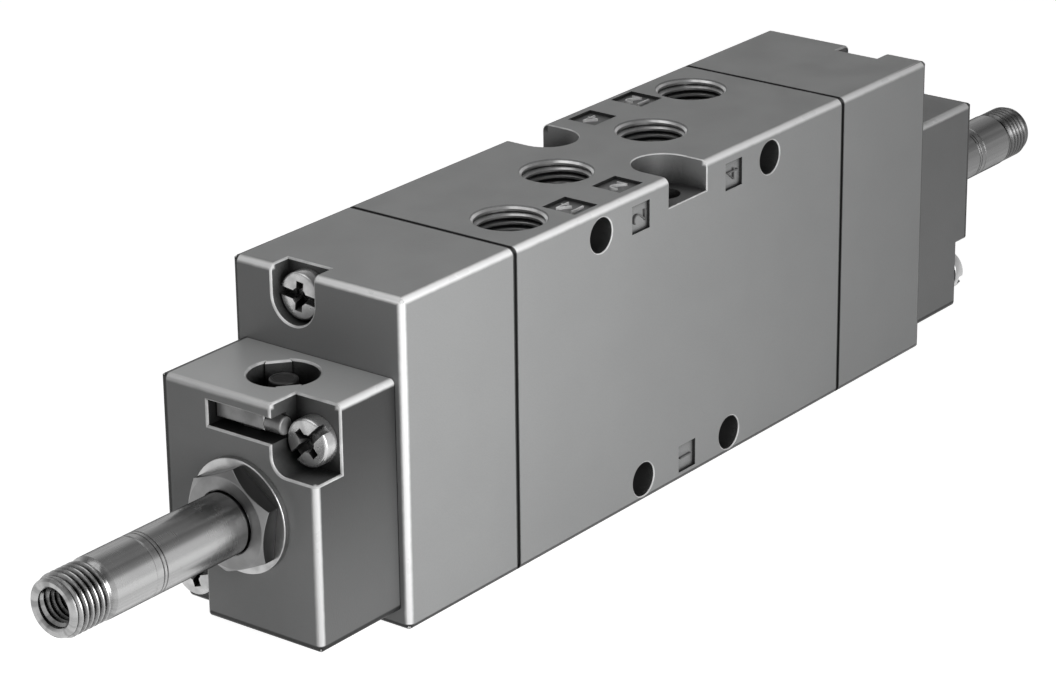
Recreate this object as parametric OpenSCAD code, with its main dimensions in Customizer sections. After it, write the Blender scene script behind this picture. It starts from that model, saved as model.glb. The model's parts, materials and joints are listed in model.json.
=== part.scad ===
// Double solenoid 5/2-way pneumatic spool valve with bare armature tubes, no coils fitted.
// Millimetres. +X runs along the spool, +Z up; the origin is under the middle of the body.
// Both ends are the same assembly: it is drawn at +X (rear) and turned by 180 degrees (front).

/* [Valve body] */
// Length of the valve body along the spool
body_len = 73; // [72:0.5:80]
// Width of the valve body and of the end caps
body_w = 27; // [26.6:0.2:30]
// Height of the valve body and of the end caps
body_h = 43.6; // [42.6:0.2:48]
// Radius of the outer edges of body and caps
edge_r = 1; // [0.4:0.1:1.4]

/* [Ports] */
// Major diameter of the port threads
port_d = 9.728; // [9:0.1:10.4]
// Width of the lead-in chamfer at a port mouth
port_chamfer = 0.14; // [0.1:0.02:0.3]
// Depth of the threaded port holes
port_depth = 8.5; // [7.5:0.5:9]
// Distance of the working ports from the middle
work_port_x = 10.45; // [10.2:0.05:10.9]
// Distance of the exhaust ports from the middle
exhaust_port_x = 21.4; // [20.8:0.1:21.8]
// Distance of the pilot ports from the middle
pilot_port_x = 28.3; // [28.2:0.1:28.8]
// Sideways offset of the pilot ports
pilot_port_y = 6.05; // [5.6:0.05:6.4]
// Diameter of the passages from the ports to the spool bore
passage_d = 5.5; // [4:0.25:6]

/* [Fixing holes] */
// Diameter of the cross holes through the body
cross_hole_d = 4.7; // [4.3:0.1:4.8]
// Distance of the upper cross holes from the middle
upper_hole_x = 18.95; // [18.6:0.05:19.4]
// Upper cross holes below the top face
upper_hole_drop = 3.55; // [3:0.05:4]
// Distance of the lower cross holes from the middle
lower_hole_x = 9.85; // [9.5:0.05:10.4]
// Height of the lower cross holes above the base
lower_hole_z = 3.25; // [3:0.05:3.8]
// Width of the two screw recesses in the top face
recess_w = 8.5; // [8:0.1:9]
// Reach of a screw recess in from the side face
recess_reach = 8.2; // [7.9:0.1:8.4]
// Depth of a screw recess
recess_depth = 4.1; // [3.5:0.1:5]
// Diameter of the fixing hole down through a recess
down_hole_d = 4.5; // [4:0.1:4.6]
// Depth of the sunk fields that carry the port numbers
label_depth = 0.4; // [0.2:0.05:0.6]

/* [Spool] */
// Diameter of the body bore that holds the cages and seals
bore_d = 12.6; // [12:0.1:12.8]
// Diameter of the spool lands
spool_d = 8; // [7.6:0.1:8.6]
// Diameter of the spool between its lands
neck_d = 5.4; // [4.8:0.1:6]
// Half length of the middle neck
mid_neck = 4.6; // [4.4:0.05:4.8]
// Where the outer necks start, from the middle of the spool
side_neck_in = 16; // [15.8:0.1:16.4]
// Where the outer necks end, from the middle of the spool
side_neck_out = 23; // [22.5:0.1:23.2]
// Travel of the spool from end to end
spool_travel = 5; // [4.6:0.1:5.2]
// Width of a spool seal
seal_w = 2; // [1.6:0.1:2.2]
// Outer diameter of the end pistons
piston_d = 17.7; // [16.5:0.1:17.8]
// Thickness of the end pistons
piston_t = 4.5; // [4:0.1:5]
// Width of the piston seal
piston_seal_w = 1.8; // [1.4:0.1:2]

/* [End caps] */
// Thickness of the gasket between body and cap
gasket_t = 0.5; // [0.3:0.1:0.8]
// Inset of the gasket edge from the faces of the body
gasket_inset = 0.3; // [0.1:0.05:0.5]
// Length of an end cap
cap_len = 21.6; // [21:0.2:24]
// Depth of the piston chamber in a cap
chamber_depth = 12; // [11.6:0.1:12.6]
// Thread diameter of the cap screws
cap_screw_d = 4; // [3.5:0.5:4]
// How far the cap screws reach into the body
cap_screw_grip = 8; // [6:0.5:8]
// Sideways offset of the cap screws
cap_screw_y = 3.7; // [3.6:0.1:4]
// Upper cap screw below the top face
cap_screw_drop = 3.8; // [3.6:0.1:4.2]
// Height of the lower cap screw above the base
cap_screw_low = 6.4; // [6.3:0.1:6.8]
// Width of the cap screw pockets
cap_pocket_w = 6.8; // [6.6:0.1:7.2]
// Depth of the cap screw pockets
cap_pocket_depth = 3.3; // [2.8:0.1:4]

/* [Pilot housing] */
// Length of a pilot housing along the spool
pilot_len = 14.9; // [14.7:0.1:17]
// Width of a pilot housing
pilot_w = 24.2; // [24:0.1:26]
// Height of a pilot housing
pilot_h = 30.65; // [30.5:0.05:32]
// Height of its underside above the base
pilot_z = 2.55; // [2:0.05:3]
// Radius of its outer edges
pilot_edge_r = 0.65; // [0.3:0.05:0.9]
// Depth of the upper screw pocket
pocket_depth = 4.8; // [4.6:0.1:5.2]
// Width of the upper screw pocket
pocket_w = 6.85; // [6.8:0.05:7.2]
// Height of the upper screw pocket
pocket_h = 8.9; // [8.6:0.1:9.3]
// Radius in the lower corner of the upper screw pocket
pocket_r = 2.2; // [1.8:0.1:3]
// Depth of the lower screw notch
notch_depth = 3.1; // [3:0.1:4]
// Width of the lower screw notch
notch_w = 6.1; // [6.1:0.1:6.4]
// Height of the lower screw notch
notch_h = 9.8; // [9:0.1:10]
// Thread diameter of the pilot housing screws
pilot_screw_d = 3.5; // [3:0.25:3.5]
// Shank length of the pilot housing screws
pilot_screw_len = 16.8; // [15.5:0.1:17]
// Diameter of all screw heads
head_d = 6.15; // [5.8:0.05:6.4]
// Height of all screw heads
head_h = 2.1; // [1.9:0.1:2.4]
// Upper pilot screw in from the side face
pocket_screw_in = 3.6; // [3.4:0.05:3.9]
// Upper pilot screw below the top face
pocket_screw_drop = 5.1; // [5:0.05:5.4]
// Lower pilot screw in from the side face
notch_screw_in = 2.9; // [2.8:0.05:3]
// Lower pilot screw above the underside
notch_screw_rise = 4.7; // [4.4:0.05:5]

/* [Armature tube] */
// Sideways offset of the tube from the middle of the housing
tube_y = 0.4; // [0:0.1:1]
// Outer diameter of the armature tube, the seat of a coil
tube_d = 8; // [7.8:0.05:8.4]
// Wall of the armature tube
tube_wall = 0.7; // [0.5:0.05:0.8]
// Step from the coil seat down to the foot of the tube inside the nut
tube_foot_step = 0.2; // [0.18:0.01:0.25]
// Reach of the tube with its core beyond the nut
tube_reach = 29.3; // [28:0.1:36]
// Length of the core head that closes the tube
core_len = 13.4; // [12.5:0.1:14]
// Length of the outer thread on the core head
core_thread_len = 6.6; // [5:0.1:7.5]
// Diameter of the outer thread on the core head
core_thread_d = 7.5; // [7.3:0.05:7.6]
// Major diameter of the thread in the end of the core
end_thread_d = 5; // [4:0.1:5.2]
// Depth of the thread in the end of the core
end_thread_len = 8; // [6:0.5:9]
// Width across the flats of the gland nut
nut_af = 12; // [11.8:0.1:13]
// Thickness of the hexagon of the gland nut
nut_t = 2.4; // [2:0.1:3]
// Turn of the hexagon about the tube
nut_turn = 23; // [0:1:59]
// Diameter of the washer under the nut
washer_d = 14.8; // [14:0.1:15.4]
// Thickness of the washer under the nut
washer_t = 0.9; // [0.6:0.1:1.2]
// Stroke of the armature
armature_stroke = 0.8; // [0.5:0.05:0.9]

/* [Manual override] */
// Distance of the override from the outer face of the housing
override_in = 8.6; // [8.4:0.05:8.8]
// Diameter of the override opening
override_d = 8.9; // [8.7:0.05:9.1]
// Depth of the override opening
override_depth = 4; // [3.8:0.05:4.1]
// Distance of the two inward lugs from the middle of the opening
lug_gap = 3.9; // [3.6:0.05:4.2]
// Length of a lug
lug_len = 3.3; // [2.5:0.1:4]
// Direction of the lugs
lug_turn = -40; // [-90:5:90]
// Diameter of the override plunger at its top
plunger_d = 3.7; // [3.4:0.05:3.8]
// Top of the plunger below the top face
plunger_drop = 0.6; // [0.3:0.05:0.9]
// Stroke of the override plunger
override_stroke = 1; // [0.6:0.05:1]
// Diameter of the leg of the retaining clip
clip_leg_d = 2.3; // [2:0.05:2.4]

/* [Clearances] */
// Radial gap of running fits
run_gap = 0.05; // [0.03:0.01:0.08]
// Gap around still parts
fit_gap = 0.1; // [0.05:0.01:0.12]

/* [Hidden] */
$fn = 48;
eps = 0.5;
FRONT = 180;
REAR = 0;

cast_grey = [0.55, 0.56, 0.57];
moulded_grey = [0.42, 0.43, 0.44];
rubber_black = [0.08, 0.08, 0.08];
steel = [0.75, 0.75, 0.76];
zinc_steel = [0.82, 0.82, 0.8];
polymer_white = [0.9, 0.9, 0.86];
brass_yellow = [0.8, 0.65, 0.3];

// Body
spool_z = body_h / 2;
half_body = body_len / 2;
port_r = port_d / 2;
upper_hole_z = body_h - upper_hole_drop;
recess_mid_y = body_w / 2 - recess_reach + recess_w / 2;
feed_y = 4;
feed_z = body_h - 7.6;
feed_d = 2;
work_label = [5, 4.5];
pilot_label = [4.8, 5.2];
side_label = [3.8, 3.8];
label_y = body_w / 2 - 4;
pilot_label_x = 20.25;
work_label_x = 10.1;

// Spool and its seals: two seals on each side of every port
seal_x = [work_port_x - 5.1, work_port_x + 5.55, exhaust_port_x + 5.4];
cage_r = bore_d / 2 - run_gap;
cage_wall = 1.85;
seal_ir = spool_d / 2 + run_gap;
cage_window = [2.4, 3.4];
groove_half = 1.8;
rest_x = -spool_travel / 2;
stop_gap = 0.3;
chamber_x = half_body + gasket_t + chamber_depth;
piston_out = chamber_x - stop_gap - spool_travel / 2;
piston_in = piston_out - piston_t;
piston_seal_ir = piston_d / 2 - 1.5;
chamber_r = piston_d / 2 + 3 * run_gap;
spigot_d = 4;
spigot_len = 2;

// End cap
cap_x0 = half_body + gasket_t;
cap_x1 = cap_x0 + cap_len;
cap_screw_z = body_h - cap_screw_drop;
cap_seat_x = cap_x1 - cap_pocket_depth;
cap_shank = cap_seat_x - half_body + cap_screw_grip;
feed_turn_x = cap_x1 - 4.6;

// Pilot housing
pilot_x1 = cap_x1 + pilot_len;
pilot_top = pilot_z + pilot_h;
tube_z = pilot_z + pilot_h / 2;
pocket_y = pilot_w / 2 - pocket_w;
pocket_z = pilot_top - pocket_h;
pocket_seat_x = pilot_x1 - pocket_depth;
pocket_screw = [pilot_w / 2 - pocket_screw_in, pilot_top - pocket_screw_drop];
notch_seat_x = pilot_x1 - notch_depth;
notch_screw = [-pilot_w / 2 + notch_screw_in, pilot_z + notch_screw_rise];
window_top = pilot_top - 1.85;
window_h = 3.3;
window_y = 4.75;
window_depth = 3;
gland_r = 5.4;
gland_depth = 5.6;
nose_r = 3.6;
nose_len = 4.4;
gland_x = pilot_x1 - gland_depth;
nozzle_r = 1.6;
nozzle_tip_r = 1;
nozzle_grip = 1.5;
outlet_z = tube_z + 2.55;
outlet_d = 1.4;
pilot_seal = [1, 8.4, 7.4];
pilot_seal_y = -2.6;
pilot_seal_z = tube_z - 2.6;

// Armature tube, seen outwards from the gland floor
ring_section = 1.2;
flange_t = 1.2;
flange_r = 4.9;
tube_x0 = gland_x + ring_section;
tube_ir = tube_d / 2 - tube_wall;
nut_x = pilot_x1 + washer_t;
nut_out = nut_x + nut_t;
coil_seat_x = nut_out + 3 * fit_gap;
tube_end = nut_out + tube_reach;
core_x = tube_end - core_len;
core_plug = 4;
ring_groove_x = core_x - 1.4;
armature_x = gland_x + 0.6;
armature_gap = armature_stroke + 0.2;
armature_end = core_x - core_plug - armature_gap;
armature_r = tube_ir - run_gap - 0.03;
stem_r = 1.75;
stem_len = 6;
spring_pocket_r = 2.45;
armature_seal_r = 1.7;
armature_seal_t = 1.4;
armature_spring_r = 2.1;
armature_spring_wire = 0.3;

// Manual override
override_x = pilot_x1 - override_in;
override_floor = pilot_top - override_depth;
plunger_r = plunger_d / 2;
collar_r = 2.42;
collar_bore = collar_r + run_gap + 0.03;
collar_top = override_floor - 1.3;
neck_r = 1.6;
tongue_t = 1;
tongue_gap = 0.1;
neck_h = tongue_t + override_stroke + 2 * tongue_gap;
collar_h = 2.5;
collar_z = collar_top - collar_h;
tip_r = 0.8;
tip_z = tube_z + nose_r;
ledge_z = collar_z - 2.4;
plunger_ring_r = 0.37;
override_spring_r = 1.75;
override_spring_wire = 0.3;

// Retaining clip of the override plunger
clip_block_y = 2.9;
clip_face = 1.5;
clip_leg_x = pilot_x1 - window_depth + 0.3;
clip_leg_y = clip_block_y - 0.4;
clip_leg_end = pocket_y + fit_gap;
clip_leg_z = window_top - window_h / 2 - 0.1;
tongue_w = 2.6;
tongue_z = collar_top + tongue_gap;
tongue_x = override_x + 2;

// Profile with four rounded corners, from the corner at the origin
module round_rect(size, r) {
    translate([r, 0]) square([size.x - 2 * r, size.y]);
    translate([0, r]) square([size.x, size.y - 2 * r]);
    for (x = [r, size.x - r], y = [r, size.y - r]) translate([x, y]) circle(r);
}

// Extrudes a YZ profile along X
module along_x(x0, x1) {
    translate([x0, 0, 0]) rotate([90, 0, 90]) linear_extrude(x1 - x0) children();
}

// Round bar or hole along X through a point of the YZ plane
module bar_x(x0, x1, yz, d) {
    translate([x0, yz[0], yz[1]]) rotate([0, 90, 0]) cylinder(h = x1 - x0, d = d);
}

// Revolves a profile of radius and X station about a line along X
module turn_x(z, y = 0) {
    translate([0, y, z]) rotate([0, 90, 0]) rotate_extrude() children();
}

// Block from x0 to x1 whose inner end is square and whose other edges are rounded
module end_block(x0, x1, w, z0, h, r) {
    intersection() {
        along_x(x0, x1) translate([-w / 2, z0]) round_rect([w, h], r);
        translate([x0 - 2 * r, -w / 2, z0]) linear_extrude(h) round_rect([x1 - x0 + 2 * r, w], r);
        translate([x0 - 2 * r, w / 2, z0]) rotate([90, 0, 0]) linear_extrude(w)
            round_rect([x1 - x0 + 2 * r, h], r);
    }
}

// Cheese-head screw along X with a crossed drive; its head seats at x
module screw(x, yz, d, len, turn) {
    rim = 0.45;
    drive_w = 1.15;
    drive_len = 0.62 * head_d;
    drive_depth = 0.6 * head_h;
    translate([x, yz[0], yz[1]]) {
        difference() {
            turn_x(0) polygon([[0, 0], [head_d / 2, 0], [head_d / 2, head_h - rim],
                [head_d / 2 - rim, head_h], [0, head_h]]);
            for (a = [turn, turn + 90]) rotate([a, 0, 0])
                translate([head_h - drive_depth, -drive_w / 2, -drive_len / 2])
                    cube([drive_depth + eps, drive_w, drive_len]);
        }
        bar_x(-len, 0, [0, 0], d);
    }
}

// Round wire wound about Z, from z = 0 to z = len
module coil_spring(r, wire, len, turns) {
    steps = ceil(turns * 10);
    sides = 6;
    wire_r = wire / 2;
    points = [for (i = [0 : steps], j = [0 : sides - 1])
        let (a = 360 * turns * i / steps, b = 360 * j / sides, q = r + wire_r * cos(b))
        [q * cos(a), q * sin(a), wire_r + (len - wire) * i / steps + wire_r * sin(b)]];
    walls = [for (i = [0 : steps - 1], j = [0 : sides - 1])
        let (k = (j + 1) % sides)
        [i * sides + j, i * sides + k, (i + 1) * sides + k, (i + 1) * sides + j]];
    start = [for (j = [sides - 1 : -1 : 0]) j];
    end = [for (j = [0 : sides - 1]) steps * sides + j];
    polyhedron(points, concat([start], walls, [end]));
}

// Threaded port, cut downwards from the plane z = 0
module port_cut(depth) {
    translate([0, 0, -depth]) cylinder(h = depth + eps, r = port_r);
    rotate_extrude() polygon([[0, eps], [0, -port_chamfer], [port_r, -port_chamfer],
        [port_r + port_chamfer, 0], [port_r + port_chamfer, eps]]);
    translate([0, 0, spool_z - body_h]) cylinder(h = body_h - spool_z, d = passage_d);
}

// Pilot port, which ends above the spool bore
module pilot_port_cut() {
    translate([0, 0, -port_depth]) cylinder(h = port_depth + eps, r = port_r);
    rotate_extrude() polygon([[0, eps], [0, -port_chamfer], [port_r, -port_chamfer],
        [port_r + port_chamfer, 0], [port_r + port_chamfer, eps]]);
}

// Screw recess in the top face at the +Y side, with its fixing hole
module recess_cut() {
    translate([0, recess_mid_y, body_h - recess_depth]) {
        cylinder(h = recess_depth + eps, d = recess_w);
        translate([-recess_w / 2, 0, 0])
            cube([recess_w, body_w / 2 - recess_mid_y + eps, recess_depth + eps]);
    }
    translate([0, recess_mid_y, -eps]) cylinder(h = body_h, d = down_hole_d);
}

// Cuts that repeat at each end of the body
module body_end_cuts() {
    translate([pilot_port_x, pilot_port_y, body_h]) pilot_port_cut();
    bar_x(pilot_port_x, half_body + eps, [feed_y, feed_z], feed_d);
    cap_screw_holes(half_body - cap_screw_grip - eps, half_body + eps, cap_screw_d);
    translate([exhaust_port_x, 0, 0]) mirror([0, 0, 1]) port_cut(port_depth);
    translate([work_port_x, 0, body_h]) port_cut(port_depth);
    recess_cut();
    translate([pilot_label_x - pilot_label.x / 2, label_y - pilot_label.y / 2, body_h - label_depth])
        cube([pilot_label.x, pilot_label.y, label_depth + eps]);
    translate([work_label_x - work_label.x / 2, label_y - work_label.y / 2, body_h - label_depth])
        cube([work_label.x, work_label.y, label_depth + eps]);
}

// Sunk field for a port number on the -Y face
module side_label_cut(x, z) {
    translate([x - side_label.x / 2, -body_w / 2 - eps, z - side_label.y / 2])
        cube([side_label.x, label_depth + eps, side_label.y]);
}

module cap_screw_holes(x0, x1, d) {
    bar_x(x0, x1, [-cap_screw_y, cap_screw_z], d);
    bar_x(x0, x1, [cap_screw_y, cap_screw_low], d);
}

module cross_hole(x, z) {
    translate([x, body_w / 2 + eps, z]) rotate([90, 0, 0]) cylinder(h = body_w + 2 * eps, d = cross_hole_d);
}

module valve_body() color(cast_grey) {
    difference() {
        along_x(-half_body, half_body) translate([-body_w / 2, 0]) round_rect([body_w, body_h], edge_r);
        bar_x(-half_body - eps, half_body + eps, [0, spool_z], bore_d);
        mirror([0, 0, 1]) port_cut(port_depth);
        for (side = [FRONT, REAR]) rotate([0, 0, side]) body_end_cuts();
        for (s = [-1, 1]) {
            cross_hole(s * upper_hole_x, upper_hole_z);
            cross_hole(s * lower_hole_x, lower_hole_z);
            side_label_cut(s * work_port_x, upper_hole_z);
        }
        side_label_cut(0, lower_hole_z);
    }
}

// Half of the spool profile, mirrored for the other end
module spool() color(steel) {
    land = spool_d / 2;
    neck = neck_d / 2;
    half = [[neck, mid_neck], [land, mid_neck + 0.6], [land, side_neck_in - 0.6], [neck, side_neck_in],
        [neck, side_neck_out], [land, side_neck_out + 0.6], [land, piston_in],
        [spigot_d / 2, piston_in], [spigot_d / 2, piston_in + spigot_len], [0, piston_in + spigot_len]];
    count = len(half);
    other = [for (i = [count - 1 : -1 : 0]) [half[i][0], -half[i][1]]];
    translate([rest_x, 0, 0]) turn_x(spool_z) polygon(concat(other, half));
}

module piston() color(polymer_white) {
    groove = piston_seal_w / 2 + 0.05;
    mid = (piston_in + piston_out) / 2;
    r = piston_d / 2;
    turn_x(spool_z) polygon([[spigot_d / 2 + run_gap, piston_in], [r, piston_in], [r, mid - groove],
        [piston_seal_ir, mid - groove], [piston_seal_ir, mid + groove], [r, mid + groove],
        [r, piston_out], [0, piston_out], [0, piston_in + spigot_len + run_gap],
        [spigot_d / 2 + run_gap, piston_in + spigot_len + run_gap]]);
}

module piston_seal() color(rubber_black) {
    mid = (piston_in + piston_out) / 2;
    turn_x(spool_z) translate([piston_seal_ir, mid - piston_seal_w / 2])
        square([chamber_r - run_gap - piston_seal_ir, piston_seal_w]);
}

// Ring about the spool from x0 to x1
module spool_ring(x0, x1, r0, r1) {
    turn_x(spool_z) translate([r0, x0]) square([r1 - r0, x1 - x0]);
}

// Cage from x0 to x1 whose waist lets the air into four windows
module cage(x0, x1) {
    mid = (x0 + x1) / 2;
    waist = cage_r - 0.8;
    ir = cage_r - cage_wall;
    difference() {
        turn_x(spool_z) polygon([[ir, x0], [cage_r, x0], [cage_r, mid - groove_half],
            [waist, mid - groove_half], [waist, mid + groove_half], [cage_r, mid + groove_half],
            [cage_r, x1], [ir, x1]]);
        for (a = [0, 90]) translate([mid, 0, spool_z]) rotate([a, 0, 0])
            translate([-cage_window.x / 2, -cage_window.y / 2, -bore_d / 2])
                cube([cage_window.x, cage_window.y, bore_d]);
    }
}

module spacer_cages() color(polymer_white) {
    half = seal_w / 2;
    cage(-seal_x[0] + half, seal_x[0] - half);
    for (side = [FRONT, REAR]) rotate([0, 0, side]) {
        cage(seal_x[0] + half, seal_x[1] - half);
        cage(seal_x[1] + half, seal_x[2] - half);
        spool_ring(seal_x[2] + half, half_body, seal_ir, cage_r);
    }
}

module spool_seals() color(rubber_black)
    for (side = [FRONT, REAR], x = seal_x) rotate([0, 0, side])
        spool_ring(x - seal_w / 2, x + seal_w / 2, seal_ir, cage_r);

module cap_gasket() color(rubber_black) {
    hole = spool_d / 2 + 1;
    difference() {
        along_x(half_body, cap_x0) translate([gasket_inset - body_w / 2, gasket_inset])
            round_rect([body_w - 2 * gasket_inset, body_h - 2 * gasket_inset], edge_r);
        bar_x(half_body - eps, cap_x0 + eps, [0, spool_z], 2 * hole);
        bar_x(half_body - eps, cap_x0 + eps, [feed_y, feed_z], feed_d);
        cap_screw_holes(half_body - eps, cap_x0 + eps, cap_screw_d + 2 * fit_gap);
    }
}

module end_cap() color(cast_grey) {
    difference() {
        end_block(cap_x0, cap_x1, body_w, 0, body_h, edge_r);
        bar_x(cap_x0 - eps, chamber_x, [0, spool_z], 2 * chamber_r);
        bar_x(chamber_x - eps, cap_x1 + eps, [tube_y, outlet_z], outlet_d);
        bar_x(cap_x0 - eps, feed_turn_x, [feed_y, feed_z], feed_d);
        bar_x(feed_turn_x, cap_x1 + eps, [feed_y, tube_z], feed_d);
        translate([feed_turn_x, feed_y, tube_z]) cylinder(h = feed_z - tube_z, d = feed_d);
        cap_screw_holes(cap_x0 - eps, cap_x1 + eps, cap_screw_d + 2 * fit_gap);
        cap_screw_holes(cap_seat_x, cap_x1 + eps, cap_pocket_w);
        translate([cap_seat_x, -cap_screw_y - cap_pocket_w / 2, cap_screw_z])
            cube([cap_pocket_depth + eps, cap_pocket_w, cap_screw_drop + eps]);
        bar_x(pocket_seat_x - pilot_screw_len, cap_x1 + eps, pocket_screw, pilot_screw_d);
        bar_x(notch_seat_x - pilot_screw_len, cap_x1 + eps, notch_screw, pilot_screw_d);
    }
}

module cap_screws() color(zinc_steel) {
    screw(cap_seat_x, [-cap_screw_y, cap_screw_z], cap_screw_d, cap_shank, -6);
    screw(cap_seat_x, [cap_screw_y, cap_screw_low], cap_screw_d, cap_shank, 60);
}

// Upper screw pocket, open to the outside, the side and the top
module pocket_cut() {
    along_x(pocket_seat_x, pilot_x1 + eps) translate([pocket_y, pocket_z]) {
        translate([pocket_r, 0]) square([pocket_w - pocket_r + eps, pocket_h + eps]);
        translate([0, pocket_r]) square([pocket_w + eps, pocket_h - pocket_r + eps]);
        translate([pocket_r, pocket_r]) circle(pocket_r);
    }
}

// Opening of the manual override with its two lugs, and the plunger bore
module override_cut() {
    translate([override_x, 0, override_floor]) difference() {
        cylinder(h = override_depth + eps, d = override_d);
        for (s = [-1, 1]) rotate([0, 0, lug_turn])
            translate([-lug_len / 2, s * (lug_gap + override_d) - override_d, -eps])
                cube([lug_len, 2 * override_d, override_depth + 3 * eps]);
    }
    translate([override_x, 0, ledge_z]) cylinder(h = override_floor - ledge_z + eps, r = collar_bore);
    translate([override_x, 0, tube_z]) cylinder(h = ledge_z - tube_z + eps, r = tip_r + 2 * fit_gap);
}

// Window of the retaining clip, which runs into the screw pocket
module window_cut() {
    leg_d = clip_leg_d + 2 * fit_gap;
    translate([pilot_x1 - window_depth, -window_y, window_top - window_h])
        cube([window_depth + eps, window_y + pocket_y + eps, window_h]);
    translate([clip_leg_x, clip_leg_y - fit_gap, clip_leg_z]) rotate([-90, 0, 0])
        cylinder(h = clip_leg_end - clip_leg_y + fit_gap, d = leg_d);
    translate([override_x, -tongue_w / 2 - fit_gap, tongue_z - fit_gap])
        cube([override_in - window_depth + eps, tongue_w + 2 * fit_gap, tongue_t + 2 * fit_gap]);
}

module pilot_housing() color(moulded_grey) {
    difference() {
        end_block(cap_x1, pilot_x1, pilot_w, pilot_z, pilot_h, pilot_edge_r);
        pocket_cut();
        translate([notch_seat_x, -pilot_w / 2 - eps, pilot_z - eps])
            cube([notch_depth + eps, notch_w + eps, notch_h + eps]);
        override_cut();
        window_cut();
        bar_x(gland_x, pilot_x1 + eps, [tube_y, tube_z], 2 * gland_r);
        bar_x(gland_x - nose_len, gland_x + eps, [tube_y, tube_z], 2 * nose_r);
        bar_x(gland_x - nose_len - nozzle_grip, gland_x, [tube_y, tube_z], 2 * nozzle_r);
        bar_x(cap_x1 - eps, gland_x - nose_len, [tube_y, tube_z], 2 * nozzle_tip_r);
        bar_x(cap_x1 - eps, gland_x - nose_len + eps, [tube_y, outlet_z], outlet_d);
        translate([cap_x1 - eps, pilot_seal_y - fit_gap, pilot_seal_z - fit_gap])
            cube([pilot_seal.x + eps, pilot_seal.y + 2 * fit_gap, pilot_seal.z + 2 * fit_gap]);
        bar_x(cap_x1 - eps, pocket_seat_x + eps, pocket_screw, pilot_screw_d + 2 * fit_gap);
        bar_x(cap_x1 - eps, notch_seat_x + eps, notch_screw, pilot_screw_d + 2 * fit_gap);
    }
}

module pilot_gasket() color(rubber_black) {
    difference() {
        translate([cap_x1, pilot_seal_y, pilot_seal_z]) cube(pilot_seal);
        bar_x(cap_x1 - eps, cap_x1 + pilot_seal.x + eps, [tube_y, outlet_z], outlet_d);
        translate([cap_x1 - eps, tube_y - nozzle_tip_r, tube_z - nozzle_tip_r])
            cube([pilot_seal.x + 2 * eps, feed_y - tube_y + 2 * nozzle_tip_r, 2 * nozzle_tip_r]);
    }
}

module pilot_screws() color(zinc_steel) {
    screw(pocket_seat_x, pocket_screw, pilot_screw_d, pilot_screw_len, 45);
    screw(notch_seat_x, notch_screw, pilot_screw_d, pilot_screw_len, 20);
}

module pilot_nozzle() color(brass_yellow) {
    foot = gland_x - nose_len - nozzle_grip;
    tip = armature_x - fit_gap;
    jet_r = 0.4;
    turn_x(tube_z, tube_y) polygon([[jet_r, foot], [nozzle_r - 0.02, foot], [nozzle_r - 0.02, foot + 2.6],
        [nozzle_tip_r, foot + 3.2], [nozzle_tip_r, tip], [jet_r, tip]]);
}

module tube_o_ring() color(rubber_black)
    turn_x(tube_z, tube_y) translate([nose_r + ring_section / 2, gland_x + ring_section / 2])
        circle(d = ring_section);

module armature_tube() color(steel) {
    r = tube_d / 2;
    foot_r = r - tube_foot_step;
    dent = 0.15;
    turn_x(tube_z, tube_y) polygon([[tube_ir, tube_x0], [flange_r, tube_x0], [flange_r, tube_x0 + flange_t],
        [foot_r, tube_x0 + flange_t], [foot_r, coil_seat_x], [r, coil_seat_x],
        [r, ring_groove_x - dent], [r - dent, ring_groove_x],
        [r, ring_groove_x + dent], [r, core_x - dent], [r - dent, core_x], [tube_ir, core_x]]);
}

module tube_washer() color(zinc_steel)
    turn_x(tube_z, tube_y) translate([gland_r + run_gap, pilot_x1])
        square([washer_d / 2 - gland_r - run_gap, washer_t]);

// Gland nut: chamfered hexagon outside, plain spigot into the housing
module gland_nut() color(zinc_steel) {
    corner_r = nut_af / sqrt(3);
    flat_r = nut_af / 2;
    spigot_end = tube_x0 + flange_t;
    fall = (corner_r - flat_r) * 0.62;
    difference() {
        union() {
            intersection() {
                along_x(nut_x, nut_out) translate([tube_y, tube_z]) rotate(nut_turn)
                    circle(r = corner_r, $fn = 6);
                turn_x(tube_z, tube_y) polygon([[0, nut_x], [corner_r + eps, nut_x],
                    [corner_r + eps, nut_out - fall - 0.4], [flat_r - 0.15, nut_out], [0, nut_out]]);
            }
            bar_x(spigot_end, nut_x + nut_t / 2, [tube_y, tube_z], 2 * (gland_r - run_gap));
        }
        bar_x(spigot_end - eps, nut_out + eps, [tube_y, tube_z], tube_d + 2 * run_gap);
    }
}

module fixed_core() color(steel) {
    r = tube_d / 2;
    dent = 0.15;
    thread_x = tube_end - core_thread_len;
    thread_r = core_thread_d / 2;
    end_r = end_thread_d / 2;
    vent_r = 0.5;
    turn_x(tube_z, tube_y) polygon([[vent_r, core_x - core_plug], [tube_ir - run_gap, core_x - core_plug],
        [tube_ir - run_gap, core_x], [r - dent, core_x], [r, core_x + dent],
        [r, thread_x], [thread_r, thread_x + 0.3], [thread_r, tube_end - 0.5],
        [thread_r - 0.5, tube_end], [end_r + 0.15, tube_end], [end_r, tube_end - 0.15],
        [end_r, tube_end - end_thread_len], [vent_r, tube_end - end_thread_len - end_r]]);
}

// Armature with a seal at each end; its return spring sits in a pocket round a stem
module armature() color(steel) {
    shoulder = armature_end - stem_len;
    seat = armature_x + armature_seal_t;
    turn_x(tube_z, tube_y) polygon([[0, seat], [armature_seal_r, seat],
        [armature_seal_r, armature_x], [armature_r, armature_x], [armature_r, armature_end],
        [spring_pocket_r, armature_end], [spring_pocket_r, shoulder], [stem_r, shoulder],
        [stem_r, armature_end], [1.2, armature_end], [1.2, armature_end - 1.2], [0, armature_end - 1.2]]);
}

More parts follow.
